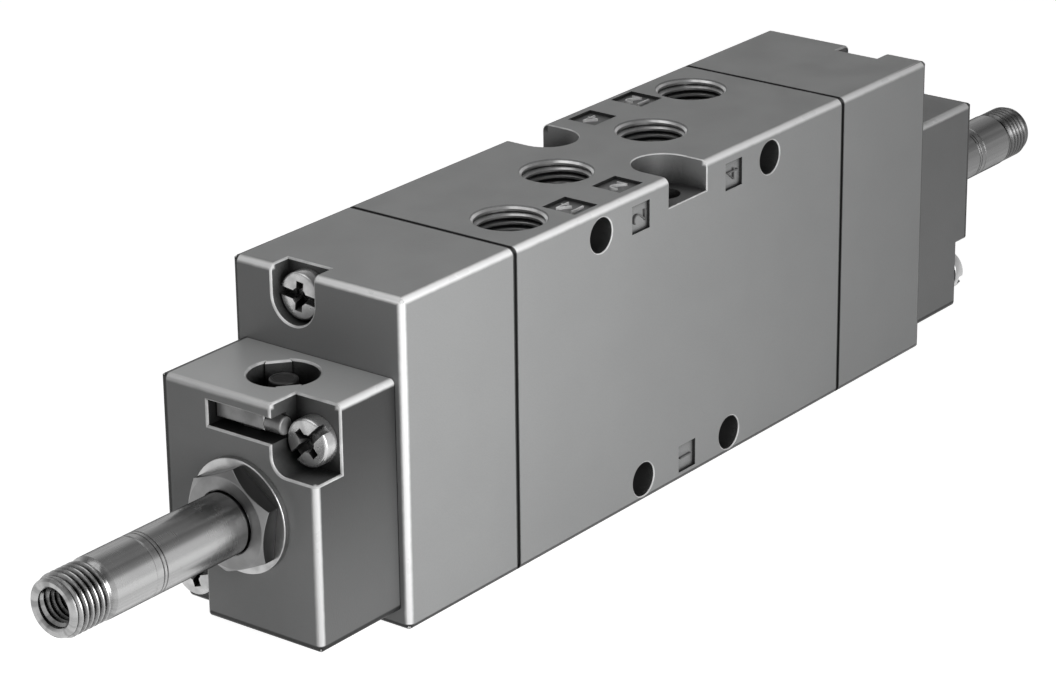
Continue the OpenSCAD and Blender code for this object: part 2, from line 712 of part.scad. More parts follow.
module armature_seals() color(rubber_black) {
    bar_x(armature_x, armature_x + armature_seal_t, [tube_y, tube_z], 2 * armature_seal_r);
    bar_x(armature_end - 1.2, armature_end, [tube_y, tube_z], 2.4);
}

module armature_spring() color(steel) {
    x0 = armature_end - stem_len;
    translate([x0, tube_y, tube_z]) rotate([0, 90, 0])
        coil_spring(armature_spring_r, armature_spring_wire, core_x - core_plug - x0, 6);
}

module override_plunger() color(brass_yellow) {
    top = pilot_top - plunger_drop;
    ring_z = collar_z + 0.6;
    ring_ir = collar_r - 2 * plunger_ring_r;
    ring_top = ring_z + 2 * plunger_ring_r + 0.1;
    translate([override_x, 0, 0]) rotate_extrude() polygon([[0, tip_z], [tip_r - 0.3, tip_z],
        [tip_r, tip_z + 0.3], [tip_r, collar_z], [collar_r, collar_z], [collar_r, ring_z], [ring_ir, ring_z],
        [ring_ir, ring_top], [collar_r, ring_top], [collar_r, collar_top], [neck_r, collar_top],
        [neck_r, collar_top + neck_h], [plunger_r, collar_top + neck_h], [plunger_r, top - 0.35],
        [plunger_r - 0.12, top - 0.12], [plunger_r - 0.35, top], [0, top]]);
}

module override_seal() color(rubber_black)
    translate([override_x, 0, collar_z + 0.65 + plunger_ring_r]) rotate_extrude()
        translate([collar_r - plunger_ring_r, 0]) circle(r = plunger_ring_r);

module override_spring() color(steel)
    translate([override_x, 0, ledge_z])
        coil_spring(override_spring_r, override_spring_wire, collar_z - ledge_z, 3);

module override_clip() color(steel) {
    back = pilot_x1 - window_depth;
    translate([back, fit_gap - window_y, window_top - window_h + 0.75])
        cube([window_depth - clip_face, window_y + clip_block_y - fit_gap, window_h - 0.75 - fit_gap]);
    translate([clip_leg_x, clip_leg_y, clip_leg_z]) rotate([-90, 0, 0])
        cylinder(h = clip_leg_end - clip_leg_y, d = clip_leg_d);
    translate([tongue_x, -tongue_w / 2, tongue_z]) cube([back + 0.4 - tongue_x, tongue_w, tongue_t]);
}

valve_body();
spool();
spacer_cages();
spool_seals();
rotate(FRONT) cap_gasket();  // front_cap_gasket
rotate(REAR) cap_gasket();  // rear_cap_gasket
rotate(FRONT) end_cap();  // front_end_cap
rotate(REAR) end_cap();  // rear_end_cap
translate([rest_x, 0, 0]) rotate(FRONT) piston();  // front_piston
translate([rest_x, 0, 0]) rotate(REAR) piston();  // rear_piston
translate([rest_x, 0, 0]) rotate(FRONT) piston_seal();  // front_piston_seal
translate([rest_x, 0, 0]) rotate(REAR) piston_seal();  // rear_piston_seal
rotate(FRONT) cap_screws();  // front_cap_screws
rotate(REAR) cap_screws();  // rear_cap_screws
rotate(FRONT) pilot_housing();  // front_pilot_housing
rotate(REAR) pilot_housing();  // rear_pilot_housing
rotate(FRONT) pilot_gasket();  // front_pilot_gasket
rotate(REAR) pilot_gasket();  // rear_pilot_gasket
rotate(FRONT) pilot_screws();  // front_pilot_screws
rotate(REAR) pilot_screws();  // rear_pilot_screws
rotate(FRONT) pilot_nozzle();  // front_pilot_nozzle
rotate(REAR) pilot_nozzle();  // rear_pilot_nozzle
rotate(FRONT) tube_o_ring();  // front_tube_o_ring
rotate(REAR) tube_o_ring();  // rear_tube_o_ring
rotate(FRONT) armature_tube();  // front_armature_tube
rotate(REAR) armature_tube();  // rear_armature_tube
rotate(FRONT) tube_washer();  // front_tube_washer
rotate(REAR) tube_washer();  // rear_tube_washer
rotate(FRONT) gland_nut();  // front_gland_nut
rotate(REAR) gland_nut();  // rear_gland_nut
rotate(FRONT) fixed_core();  // front_fixed_core
rotate(REAR) fixed_core();  // rear_fixed_core
rotate(FRONT) armature();  // front_armature
rotate(REAR) armature();  // rear_armature
rotate(FRONT) armature_seals();  // front_armature_seals
rotate(REAR) armature_seals();  // rear_armature_seals
rotate(FRONT) armature_spring();  // front_armature_spring
rotate(REAR) armature_spring();  // rear_armature_spring
rotate(FRONT) override_plunger();  // front_override_plunger
rotate(REAR) override_plunger();  // rear_override_plunger
rotate(FRONT) override_seal();  // front_override_seal
rotate(REAR) override_seal();  // rear_override_seal
rotate(FRONT) override_spring();  // front_override_spring
rotate(REAR) override_spring();  // rear_override_spring
rotate(FRONT) override_clip();  // front_override_clip
rotate(REAR) override_clip();  // rear_override_clip
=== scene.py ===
"""Looks of a double solenoid spool valve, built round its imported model.

Everything is in metres in the model's own frame: +X runs along the spool, +Z up.
Both ends are the same assembly, so an end piece is made at +X and turned for the front.
"""

import json
import logging
import math
from collections.abc import Iterable, Sequence
from dataclasses import dataclass, field
from enum import Enum

import bmesh
import bpy
from mathutils import Matrix, Vector

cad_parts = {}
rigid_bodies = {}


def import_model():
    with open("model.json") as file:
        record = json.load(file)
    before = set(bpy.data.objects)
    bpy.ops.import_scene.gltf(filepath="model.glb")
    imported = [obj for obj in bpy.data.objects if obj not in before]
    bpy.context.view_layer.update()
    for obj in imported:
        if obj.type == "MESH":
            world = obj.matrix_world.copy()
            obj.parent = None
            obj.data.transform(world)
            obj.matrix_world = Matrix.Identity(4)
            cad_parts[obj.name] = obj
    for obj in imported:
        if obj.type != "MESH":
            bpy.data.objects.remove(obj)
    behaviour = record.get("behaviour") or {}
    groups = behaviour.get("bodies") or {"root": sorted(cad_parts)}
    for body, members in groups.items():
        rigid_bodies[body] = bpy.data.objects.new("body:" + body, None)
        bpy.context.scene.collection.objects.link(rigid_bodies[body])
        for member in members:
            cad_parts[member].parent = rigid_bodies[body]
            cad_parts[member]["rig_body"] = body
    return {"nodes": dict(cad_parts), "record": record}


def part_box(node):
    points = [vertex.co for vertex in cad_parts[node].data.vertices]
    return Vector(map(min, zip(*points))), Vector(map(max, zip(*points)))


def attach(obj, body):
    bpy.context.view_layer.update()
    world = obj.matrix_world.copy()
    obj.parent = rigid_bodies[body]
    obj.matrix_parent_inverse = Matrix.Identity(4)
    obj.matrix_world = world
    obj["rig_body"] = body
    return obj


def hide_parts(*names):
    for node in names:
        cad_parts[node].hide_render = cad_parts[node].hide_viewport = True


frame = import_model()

LOG = logging.getLogger("valve")
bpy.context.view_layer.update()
MM = 0.001
FULL_TURN = 2 * math.pi

# Modelling: weld distance, reach of a cutter past what it cuts, facets round a turned part
WELD = 1e-7
OVERCUT = 0.5 * MM
ROUND_STEPS = 96
FINE_STEPS = 128

# Edges: the angle from which one shades sharp, and the angle from which one is broken
SHARP = math.radians(32)
BREAKABLE = math.radians(50)

# Broken edges of a node: reach of its outer faces and of their roundings, and the least width
# of a face whose edges are broken
RIM_REACH = 0.02 * MM
ROUNDED_REACH = 0.31 * MM
SHALLOW = 0.6 * MM

# Flat faces: how far a corner may lie off the plane, how large a flat is, and how level
FLAT_REACH = 1e-6
FLAT_AREA = 1 * MM**2
LEVEL = 0.9999
TRUE_LEVEL = 0.99999
FILL_ERROR = 0.02

# Shading: limit of a group's sockets, and the facing at which a rounding rolls out of sight
SOCKET_LIMIT = 10000
ROLLING = (0.64, 0.86)

Point = tuple[float, float]
Place = tuple[float, float, float]
Colour = tuple[float, float, float]
Shape = bmesh.types.BMesh
Edge = bmesh.types.BMEdge
Face = bmesh.types.BMFace
Socket = bpy.types.NodeSocket
Outputs = bpy.types.NodeOutputs
Tree = bpy.types.NodeTree
Material = bpy.types.Material


class Side(Enum):
    """The two ends of the valve, with the turn about Z that takes an end piece there."""

    FRONT = ("front", math.pi)
    REAR = ("rear", 0.0)

    @property
    def prefix(self) -> str:
        """Word that starts the names of this end's nodes."""
        return self.value[0]

    @property
    def turn(self) -> Matrix:
        """Turn from the +X end to this end."""
        return Matrix.Rotation(self.value[1], 4, "Z")

    def node(self, name: str) -> str:
        """Name of a CAD node at this end."""
        return f"{self.prefix}_{name}"


class Slot(Enum):
    """Material slots of the record."""

    CASTING = "body_casting"
    MOULDING = "pilot_moulding"
    RUBBER = "seal_rubber"
    CAGE = "cage_polymer"
    STEEL = "steel"
    TUBE = "tube_steel"
    SCREW = "screw_zinc"
    NUT = "nut_zinc"
    BRASS = "brass"
    PLUNGER = "plunger_black"
    CLIP = "clip_steel"


class Direction(Enum):
    """Turns that a piece drawn along +X takes before it is placed."""

    UP = Matrix.Rotation(-math.pi / 2, 4, "Y")
    DOWN = Matrix.Rotation(math.pi / 2, 4, "Y")


def grey(level: float) -> Colour:
    """Neutral colour from a display level.

    Args:
        level: brightness on screen, from 0 to 255.

    Returns:
        The same value three times, in linear light.
    """
    share = level / 255
    linear = share / 12.92 if share <= 0.04045 else ((share + 0.055) / 1.055) ** 2.4
    return (linear, linear, linear)


def tinted(level: float, tint: Colour) -> Colour:
    """A grey of the given display level with a slight tint."""
    return tuple(a * b for a, b in zip(grey(level), tint))


# Wiring of shader nodes


class Wiring:
    """Short hand for adding and joining nodes in one tree."""

    def __init__(self, tree: Tree) -> None:
        """Keeps the tree whose nodes are joined."""
        self.tree = tree

    def node(self, kind: str, **settings: object) -> bpy.types.Node:
        """Adds a node.

        Args:
            kind: the node's type name.
            settings: properties to set on it.

        Returns:
            The new node.
        """
        made = self.tree.nodes.new(kind)
        for key, value in settings.items():
            setattr(made, key, value)
        return made

    def join(self, source: Socket, target: Socket) -> None:
        """Links one socket to another."""
        self.tree.links.new(source, target)

    def feed(self, target: Socket, value: object) -> None:
        """Gives an input a link or a plain value.

        Args:
            target: the input.
            value: the socket to link from, or the value to set.
        """
        if isinstance(value, Socket):
            self.join(value, target)
        else:
            target.default_value = value

    def math(self, operation: str, *values: object) -> Socket:
        """Adds a Math node.

        Args:
            operation: the node's operation.
            values: sockets or numbers for its inputs, in order.

        Returns:
            The node's output.
        """
        made = self.node("ShaderNodeMath", operation=operation)
        for socket, value in zip(made.inputs, values):
            self.feed(socket, value)
        return made.outputs[0]

    def flipped(self, value: object) -> Socket:
        """One minus a value."""
        return self.math("SUBTRACT", 1.0, value)

    def apart(self, first: object, second: object) -> Socket:
        """How far apart two values are."""
        return self.math("ABSOLUTE", self.math("SUBTRACT", first, second))

    def both(self, first: object, second: object) -> Socket:
        """Mask of the places that two masks share."""
        return self.math("MULTIPLY", first, second)

    def scaled(self, value: object, middle: float, swing: float) -> Socket:
        """A 0 to 1 value turned into middle plus or minus swing."""
        return self.math("MULTIPLY_ADD", value, 2 * swing, middle - swing)

    def faded(self, share: object, value: float, part: float) -> Socket:
        """A value that loses a part of itself where the share is 1."""
        return self.math("MULTIPLY_ADD", share, -part * value, value)

    def split(self, vector: Socket) -> list[Socket]:
        """The three numbers of a vector.

        Args:
            vector: the vector.

        Returns:
            Its x, y and z.
        """
        made = self.node("ShaderNodeSeparateXYZ")
        self.join(vector, made.inputs[0])
        return list(made.outputs)

    def vector(self, *values: Socket) -> Socket:
        """A vector of up to three numbers.

        Args:
            values: its x and, if they aren't 0, its y and z.

        Returns:
            The vector.
        """
        made = self.node("ShaderNodeCombineXYZ")
        for socket, value in zip(made.inputs, values):
            self.join(value, socket)
        return made.outputs[0]

    def coordinates(self, kind: str) -> Socket:
        """One output of a Texture Coordinate node."""
        return self.node("ShaderNodeTexCoord").outputs[kind]

    def noise(self, vector: Socket, scale: object, detail: float) -> Socket:
        """Value of a Noise Texture.

        Args:
            vector: where it is read.
            scale: features to a metre.
            detail: number of finer layers.

        Returns:
            The noise, from 0 to 1 about a half.
        """
        made = self.node("ShaderNodeTexNoise")
        made.inputs["Detail"].default_value = detail
        self.join(vector, made.inputs["Vector"])
        self.feed(made.inputs["Scale"], scale)
        return made.outputs["Fac"]

    def ramp(self, value: object, low: object, high: object) -> Socket:
        """Smooth step of a value.

        Args:
            value: the value.
            low: where the step is 0.
            high: where the step is 1, above low or below it.

        Returns:
            The step.
        """
        made = self.node("ShaderNodeMapRange", interpolation_type="SMOOTHSTEP")
        self.feed(made.inputs["Value"], value)
        self.feed(made.inputs["From Min"], low)
        self.feed(made.inputs["From Max"], high)
        return made.outputs["Result"]

    def mix(self, share: object, first: object, second: object) -> Socket:
        """Mix of two colours.

        Args:
            share: how much of the second colour there is.
            first: colour or socket at 0.
            second: colour or socket at 1.

        Returns:
            The mixed colour.
        """
        made = self.node("ShaderNodeMix", data_type="RGBA")
        self.feed(made.inputs["Factor"], share)
        for socket, value in ((made.inputs["A"], first), (made.inputs["B"], second)):
            self.feed(socket, value if isinstance(value, Socket) else (*value, 1))
        return made.outputs["Result"]

    def tint(self, share: object, colour: Socket, tone: float) -> Socket:
        """Colour that is multiplied by a tone.

        Args:
            share: where the tone holds, from 0 to 1.
            colour: the colour.
            tone: the factor at 1.

        Returns:
            The tinted colour.
        """
        made = self.node("ShaderNodeMix", data_type="RGBA", blend_type="MULTIPLY")
        self.feed(made.inputs["Factor"], share)
        self.join(colour, made.inputs["A"])
        made.inputs["B"].default_value = (tone, tone, tone, 1)
        return made.outputs["Result"]

    def bump(self, height: Socket, depth: float) -> Socket:
        """Normal from a height between 0 and 1.

        Args:
            height: the relief.
            depth: its full depth in metres.

        Returns:
            The bumped normal.
        """
        made = self.node("ShaderNodeBump")
        made.inputs["Strength"].default_value = 1.0
        made.inputs["Distance"].default_value = depth
        self.join(height, made.inputs["Height"])
        return made.outputs["Normal"]


class GroupDraft(Wiring):
    """A node group in the making, with float sockets."""

    def __init__(self, name: str, inputs: dict[str, float], outputs: Iterable[str]) -> None:
        """Makes the empty group.

        Args:
            name: name of the group.
            inputs: each input's name and default value.
            outputs: names of the outputs.
        """
        super().__init__(bpy.data.node_groups.new(name, "ShaderNodeTree"))
        sockets = self.tree.interface
        for label, value in inputs.items():
            socket = sockets.new_socket(name=label, in_out="INPUT", socket_type="NodeSocketFloat")
            socket.default_value = value
            socket.min_value = -SOCKET_LIMIT
            socket.max_value = SOCKET_LIMIT
        for label in outputs:
            sockets.new_socket(name=label, in_out="OUTPUT", socket_type="NodeSocketFloat")
        self.inputs = self.node("NodeGroupInput").outputs
        self.outputs = self.node("NodeGroupOutput").inputs

    def put(self, label: str, value: Socket) -> None:
        """Gives the group an output."""
        self.join(value, self.outputs[label])


class MaterialDraft(Wiring):
    """A material in the making, on its Principled shader."""

    def __init__(self, name: str) -> None:
        """Makes the plain material.

        Args:
            name: name of the material.
        """
        self.material = bpy.data.materials.new(name)
        self.material.use_nodes = True
        super().__init__(self.material.node_tree)
        self.inputs = self.tree.nodes["Principled BSDF"].inputs

    def put(self, label: str, value: object) -> None:
        """Gives an input of the shader a link or a plain value."""
        self.feed(self.inputs[label], value)

    def effect(self, group: Tree, **values: float) -> Outputs:
        """Places a shared effect in the material.

        Args:
            group: the effect.
            values: its inputs, with underscores for spaces.

        Returns:
            The outputs of the effect.
        """
        made = self.node("ShaderNodeGroup", node_tree=group)
        for key, value in values.items():
            made.inputs[key.replace("_", " ")].default_value = value
        return made.outputs

    def rolled(self) -> Socket:
        """Value that rises to 1 where a rounding rolls out of sight."""
        facing = self.node("ShaderNodeLayerWeight").outputs["Facing"]
        return self.ramp(facing, *ROLLING)


# Effects that finishes share


class Effects:
    """Node groups that several finishes share, each built once."""

    BOX: dict[str, float] = {f"{part} {axis}": 0.0 for part in ("Centre", "Half") for axis in "XYZ"}
    FACES: tuple[str, ...] = ("End", "Side", "Top")

    def __init__(self) -> None:
        """Builds the groups."""
        self.edge_wear = self._edge_wear()
        self.recess_shade = self._recess_shade()
        self.block_places = self._block_places()
        self.outer_faces = self._outer_faces()
        self.away_side = self._away_side()
        self.blast_grain = self._blast_grain()
        self.tool_rings = self._tool_rings()
        self.handling = self._handling()

    @staticmethod
    def _depths(draft: GroupDraft) -> list[Socket]:
        """How far a point lies inside each pair of faces of the box in the inputs.

        Args:
            draft: a group with the inputs of a box.

        Returns:
            The depths along x, y and z.
        """
        depths = []
        for value, axis in zip(draft.split(draft.coordinates("Object")), "XYZ"):
            away = draft.apart(value, draft.inputs[f"Centre {axis}"])
            depths.append(draft.math("SUBTRACT", draft.inputs[f"Half {axis}"], away))
        return depths

    @classmethod
    def _edge_wear(cls) -> Tree:
        """Mask that is 1 along the edges of an upright box and 0 on its faces; it places painted highlights
        on near edges and a painted dark outline on far edges.

        Returns:
            The group.
        """
        draft = GroupDraft("edge_wear", {**cls.BOX, "Width": 1 * MM}, ["Mask"])
        first, second, third = cls._depths(draft)
        near = draft.math("MINIMUM", first, second)
        far = draft.math("MAXIMUM", first, second)
        middle = draft.math("MAXIMUM", near, draft.math("MINIMUM", far, third))
        uneven = draft.noise(draft.coordinates("Object"), scale=700, detail=2)
        gap = draft.math("ADD", middle, draft.scaled(uneven, 0, 0.06 * MM))
        width = draft.inputs["Width"]
        core = draft.math("MULTIPLY", width, 0.45)
        draft.put("Mask", draft.flipped(draft.ramp(gap, core, width)))
        return draft.tree

    @staticmethod
    def _recess_shade() -> Tree:
        """Value that is 1 in the open and falls towards 0 deep in holes, slots and pockets.

        Returns:
            The group.
        """
        draft = GroupDraft("recess_shade", {"Reach": 6 * MM, "Shut": 0.5, "Open": 0.97}, ["Light"])
        around = draft.node("ShaderNodeAmbientOcclusion", samples=6, only_local=True)
        draft.join(draft.inputs["Reach"], around.inputs["Distance"])
        draft.put("Light", draft.ramp(around.outputs["AO"], draft.inputs["Shut"], draft.inputs["Open"]))
        return draft.tree

    @staticmethod
    def _block_places() -> Tree:
        """Places on a block: its height, the way outwards, its joint line and its number fields.

        Returns:
            The group.
        """
        measures = {"Foot": 0.0, "Top": 1.0, "Inner": 0.0, "Outer": 1.0, "Joint": 0.0, "Field": 0.4 * MM}
        draft = GroupDraft("block_places", measures, ["Height", "Outward", "Joint", "Field"])
        inputs = draft.inputs
        along, _, rise = draft.split(draft.coordinates("Object"))
        out = draft.math("ABSOLUTE", along)
        draft.put("Height", draft.ramp(rise, inputs["Foot"], inputs["Top"]))
        draft.put("Outward", draft.ramp(out, inputs["Inner"], inputs["Outer"]))
        draft.put("Joint", draft.ramp(draft.apart(out, inputs["Joint"]), 0.22 * MM, 0.1 * MM))
        sunk = draft.math("SUBTRACT", inputs["Top"], inputs["Field"])
        draft.put("Field", draft.ramp(draft.apart(rise, sunk), 0.06 * MM, 0.03 * MM))
        return draft.tree

    @classmethod
    def _outer_faces(cls) -> Tree:
        """Masks of the outer faces of an upright box, and of all that lies inside them.

        Returns:
            The group.
        """
        draft = GroupDraft("outer_faces", cls.BOX, [*cls.FACES, "Inside"])
        normal = draft.split(draft.coordinates("Normal"))
        masks = []
        for depth, turned, name in zip(cls._depths(draft), normal, cls.FACES):
            facing = draft.ramp(draft.math("ABSOLUTE", turned), 0.7, 0.95)
            masks.append(draft.both(facing, draft.ramp(depth, 0.65 * MM, 0.5 * MM)))
            draft.put(name, masks[-1])
        outer = draft.math("MAXIMUM", draft.math("MAXIMUM", masks[0], masks[1]), masks[2])
        draft.put("Inside", draft.flipped(outer))
        return draft.tree

    @staticmethod
    def _away_side() -> Tree:
        """Mask next to the far side, the foot and the rear end of a block, whose edges get a painted dark
        outline as shade.

        Returns:
            The group.
        """
        draft = GroupDraft("away_side", {"Far": 1.0, "Foot": 0.0, "Rear": 1.0}, ["Mask"])
        inputs = draft.inputs
        along, aside, rise = draft.split(draft.coordinates("Object"))
        far = draft.math("SUBTRACT", inputs["Far"], aside)
        foot = draft.math("SUBTRACT", rise, inputs["Foot"])
        rear = draft.math("SUBTRACT", inputs["Rear"], along)
        nearest = draft.math("MINIMUM", draft.math("MINIMUM", far, foot), rear)
        draft.put("Mask", draft.ramp(nearest, 1.0 * MM, 0.8 * MM))
        return draft.tree

    @staticmethod
    def _blast_grain() -> Tree:
        """Fine grain of a blasted or spark-eroded surface, with a broad cloud of tone.

        Returns:
            The group.
        """
        draft = GroupDraft("blast_grain", {"Scale": 4000.0}, ["Grain", "Cloud"])
        place = draft.coordinates("Object")
        draft.put("Grain", draft.noise(place, scale=draft.inputs["Scale"], detail=2))
        draft.put("Cloud", draft.noise(place, scale=45, detail=3))
        return draft.tree

    @staticmethod
    def _tool_rings() -> Tree:
        """Marks of a lathe tool round an axis along X, and drawing streaks along it that are partly painted
        reflection bands.

        Returns:
            The group.
        """
        measures = {"Axis Y": 0.0, "Axis Z": 0.0, "Rings": 6000.0}
        draft = GroupDraft("tool_rings", measures, ["Rings", "Streaks"])
        along, *across = draft.split(draft.coordinates("Object"))
        rings = draft.noise(draft.vector(along), scale=draft.inputs["Rings"], detail=3)
        draft.put("Rings", rings)
        aside, rise = (
            draft.math("SUBTRACT", value, draft.inputs[f"Axis {axis}"]) for value, axis in zip(across, "YZ")
        )
        angle = draft.math("ARCTAN2", rise, aside)
        round_axis = [draft.math(name, angle) for name in ("COSINE", "SINE")]
        about = draft.vector(*round_axis, draft.math("MULTIPLY", along, 4.0))
        draft.put("Streaks", draft.noise(about, scale=2.6, detail=2))
        return draft.tree

    @staticmethod
    def _handling() -> Tree:
        """Faint smudges that change the gloss of a handled surface.

        Returns:
            The group.
        """
        draft = GroupDraft("handling", {"Scale": 160.0}, ["Smudge"])
        cloud = draft.noise(draft.coordinates("Object"), scale=draft.inputs["Scale"], detail=4)
        draft.put("Smudge", draft.ramp(cloud, 0.35, 0.7))
        return draft.tree


EFFECTS = Effects()


# Finishes


@dataclass(frozen=True)
class Finish:
    """What every finish has: a name, a colour, its gloss and how metallic it is."""

    name: str
    colour: Colour
    roughness: float = 0.4
    metallic: float = 0.0
    specular: float = 0.5

    def shade(self, tone: float) -> Colour:
        """The finish's colour times a tone."""
        return tuple(min(1.0, part * tone) for part in self.colour)

    def build(self) -> Material:
        """Makes the material.

        Returns:
            The material.
        """
        draft = MaterialDraft(self.name)
        draft.put("Base Color", (*self.colour, 1))
        draft.put("Roughness", self.roughness)
        draft.put("Metallic", self.metallic)
        draft.put("Specular IOR Level", self.specular)
        self.dress(draft)
        return draft.material

    def dress(self, draft: MaterialDraft) -> None:
        """Joins the effects of the finish to the shader."""
        raise NotImplementedError


@dataclass(frozen=True)
class BlockFinish(Finish):
    """Grained finish of a block, with painted highlights on its near edges, a painted dark outline on its
    far edges and a painted light or shade tone on each face.

    A tone is a factor on the colour.
    """

    # Painted highlight on the near edges, its colour and width; the polish lowers the roughness there.
    edge_colour: Colour = (0.7, 0.7, 0.7)
    edge_width: float = 0.95 * MM
    edge_polish: float = 0.12
    # Painted dark outline along the far edges, its width and tone.
    line_width: float = 1.4 * MM
    line_tone: float = 0.12
    # Painted shade in recesses, from ambient occlusion.
    recess_tone: float = 0.07
    shut: float = 0.52
    # Painted light and shade on the outer faces, and painted shade inside them.
    end_tone: float = 1.0
    inside_tone: float = 0.7
    side_tone: float = 1.0
    side_top_tone: float = 1.0
    top_tone: float = 1.0
    top_outer_tone: float = 1.0
    field_tone: float = 0.5
    joint: float = 0.0
    joint_tone: float = 0.12
    # Painted dark outline where a highlit rounding rolls out of sight.
    rolled_tone: float = 0.15
    cloud_swing: float = 0.07
    speck_share: float = 0.16
    speck_tone: float = 0.6
    grain_scale: float = 4200.0
    grain_depth: float = 0.02 * MM
    low: Place = (0, 0, 0)
    high: Place = (0, 0, 0)

    def box(self) -> dict[str, float]:
        """Centre and half size of the block.

        Returns:
            The inputs of an effect that works on a box.
        """
        values = {}
        for axis, low, high in zip("XYZ", self.low, self.high):
            values[f"Centre_{axis}"] = (low + high) / 2
            values[f"Half_{axis}"] = (high - low) / 2
        return values

    def edges(self, draft: MaterialDraft, width: float) -> Socket:
        """Mask of the block's edges."""
        return draft.effect(EFFECTS.edge_wear, Width=width, **self.box())["Mask"]

    def grained(self, draft: MaterialDraft, grain: Outputs) -> Socket:
        """Colour of the block with its clouds and specks.

        Args:
            draft: the material.
            grain: outputs of the grain effect.

        Returns:
            The colour.
        """
        dull, fair = self.shade(1 - self.cloud_swing), self.shade(1 + self.cloud_swing)
        cloud = draft.mix(grain["Cloud"], dull, fair)
        specks = draft.math("MULTIPLY", grain["Grain"], self.speck_share)
        return draft.mix(specks, cloud, self.shade(self.speck_tone))

    def toned(self, draft: MaterialDraft, colour: Socket, places: Outputs) -> Socket:
        """Colour with the painted light and shade tones of the outer faces and the painted shade of what
        lies inside them.

        Args:
            draft: the material.
            colour: the colour of the block.
            places: outputs of the effect that tells the places on the block.

        Returns:
            The toned colour.
        """
        faces = draft.effect(EFFECTS.outer_faces, **self.box())
        tones = [
            (faces["End"], self.end_tone),
            (faces["Inside"], self.inside_tone),
            (faces["Side"], self.side_tone),
            (draft.both(faces["Side"], places["Height"]), self.side_top_tone),
            (faces["Top"], self.top_tone),
            (draft.both(faces["Top"], places["Outward"]), self.top_outer_tone),
            (draft.both(faces["Top"], places["Field"]), self.field_tone),
        ]
        for share, tone in tones:
            colour = draft.tint(share, colour, tone)
        return colour

    def dress(self, draft: MaterialDraft) -> None:
        """Adds grain, faint clouds, smudges, painted light and shade tones on the faces, painted highlights
        on the near edges and painted dark lines on the far ones.

        Args:
            draft: the material.
        """
        grain = draft.effect(EFFECTS.blast_grain, Scale=self.grain_scale)
        # Near edges get a painted highlight and a lower roughness; far edges get a painted dark outline.
        away = draft.effect(EFFECTS.away_side, Far=self.high[1], Foot=self.low[2], Rear=self.high[0])["Mask"]
        highlit_and_polished = draft.both(draft.flipped(away), self.edges(draft, self.edge_width))
        line = draft.both(away, self.edges(draft, self.line_width))
        inner, outer = sorted((abs(self.low[0]), abs(self.high[0])))
        reach = {"Foot": self.low[2], "Top": self.high[2], "Inner": inner, "Outer": outer}
        places = draft.effect(EFFECTS.block_places, Joint=self.joint, **reach)
        toned = self.toned(draft, self.grained(draft, grain), places)
        # Painted shade in recesses.
        light = draft.effect(EFFECTS.recess_shade, Shut=self.shut)["Light"]
        shaded = draft.mix(light, self.shade(self.recess_tone), toned)
        # Painted dark outline where a highlit rounding rolls out of sight.
        rolled = draft.both(draft.rolled(), highlit_and_polished)
        edge_highlit = draft.tint(rolled, draft.mix(highlit_and_polished, shaded, self.edge_colour), self.rolled_tone)
        lined = draft.tint(line, edge_highlit, self.line_tone)
        draft.put("Base Color", draft.tint(places["Joint"], lined, self.joint_tone))
        draft.put("Specular IOR Level", draft.faded(rolled, self.specular, 1.0))
        smudge = draft.effect(EFFECTS.handling)["Smudge"]
        gloss = draft.scaled(smudge, self.roughness, 0.03)
        draft.put("Roughness", draft.math("MULTIPLY_ADD", highlit_and_polished, -self.edge_polish, gloss))
        draft.put("Normal", draft.bump(grain["Grain"], self.grain_depth))


@dataclass(frozen=True)
class TurnedFinish(Finish):
    """Turned metal about an axis along X, with tool rings, and drawing streaks that are partly painted
    reflection bands.
    """

    axis: Point = (0.0, 0.0)
    rings: float = 7000.0
    ring_depth: float = 0.004 * MM
    # Streaks are partly drawing marks and partly painted reflection bands.
    streak_tone: float = 0.6
    # Painted shade in grooves, thread valleys and bores.
    groove_reach: float = 3.5 * MM
    groove_tone: float = 0.05
    # Painted dark outline where the surface rolls out of sight.
    rolled_tone: float = 0.15
    rolled_metal: float = 0.8

    def dress(self, draft: MaterialDraft) -> None:
        """Adds rings, streaks that are partly painted reflection bands, painted shade in grooves and a
        painted dark outline.

        Args:
            draft: the material.
        """
        axis = {"Axis_Y": self.axis[0], "Axis_Z": self.axis[1]}
        marks = draft.effect(EFFECTS.tool_rings, Rings=self.rings, **axis)
        streaks = draft.ramp(marks["Streaks"], 0.32, 0.62)
        # Painted shade in grooves, thread valleys and bores.
        groove = {"Reach": self.groove_reach, "Shut": 0.45, "Open": 0.95}
        shut = draft.flipped(draft.effect(EFFECTS.recess_shade, **groove)["Light"])
        drawn = draft.mix(streaks, self.shade(self.streak_tone), self.colour)
        # Painted dark outline at grazing view.
        rolled = draft.rolled()
        toned = draft.tint(shut, drawn, self.groove_tone)
        draft.put("Base Color", draft.tint(rolled, toned, self.rolled_tone))
        draft.put("Metallic", draft.faded(rolled, self.metallic, self.rolled_metal))
        draft.put("Specular IOR Level", draft.faded(rolled, self.specular, 1.0))
        smudge = draft.effect(EFFECTS.handling, Scale=300.0)["Smudge"]
        gloss = draft.scaled(marks["Rings"], self.roughness, 0.05)
        draft.put("Roughness", draft.math("ADD", gloss, draft.scaled(smudge, 0, 0.03)))
        draft.put("Normal", draft.bump(marks["Rings"], self.ring_depth))


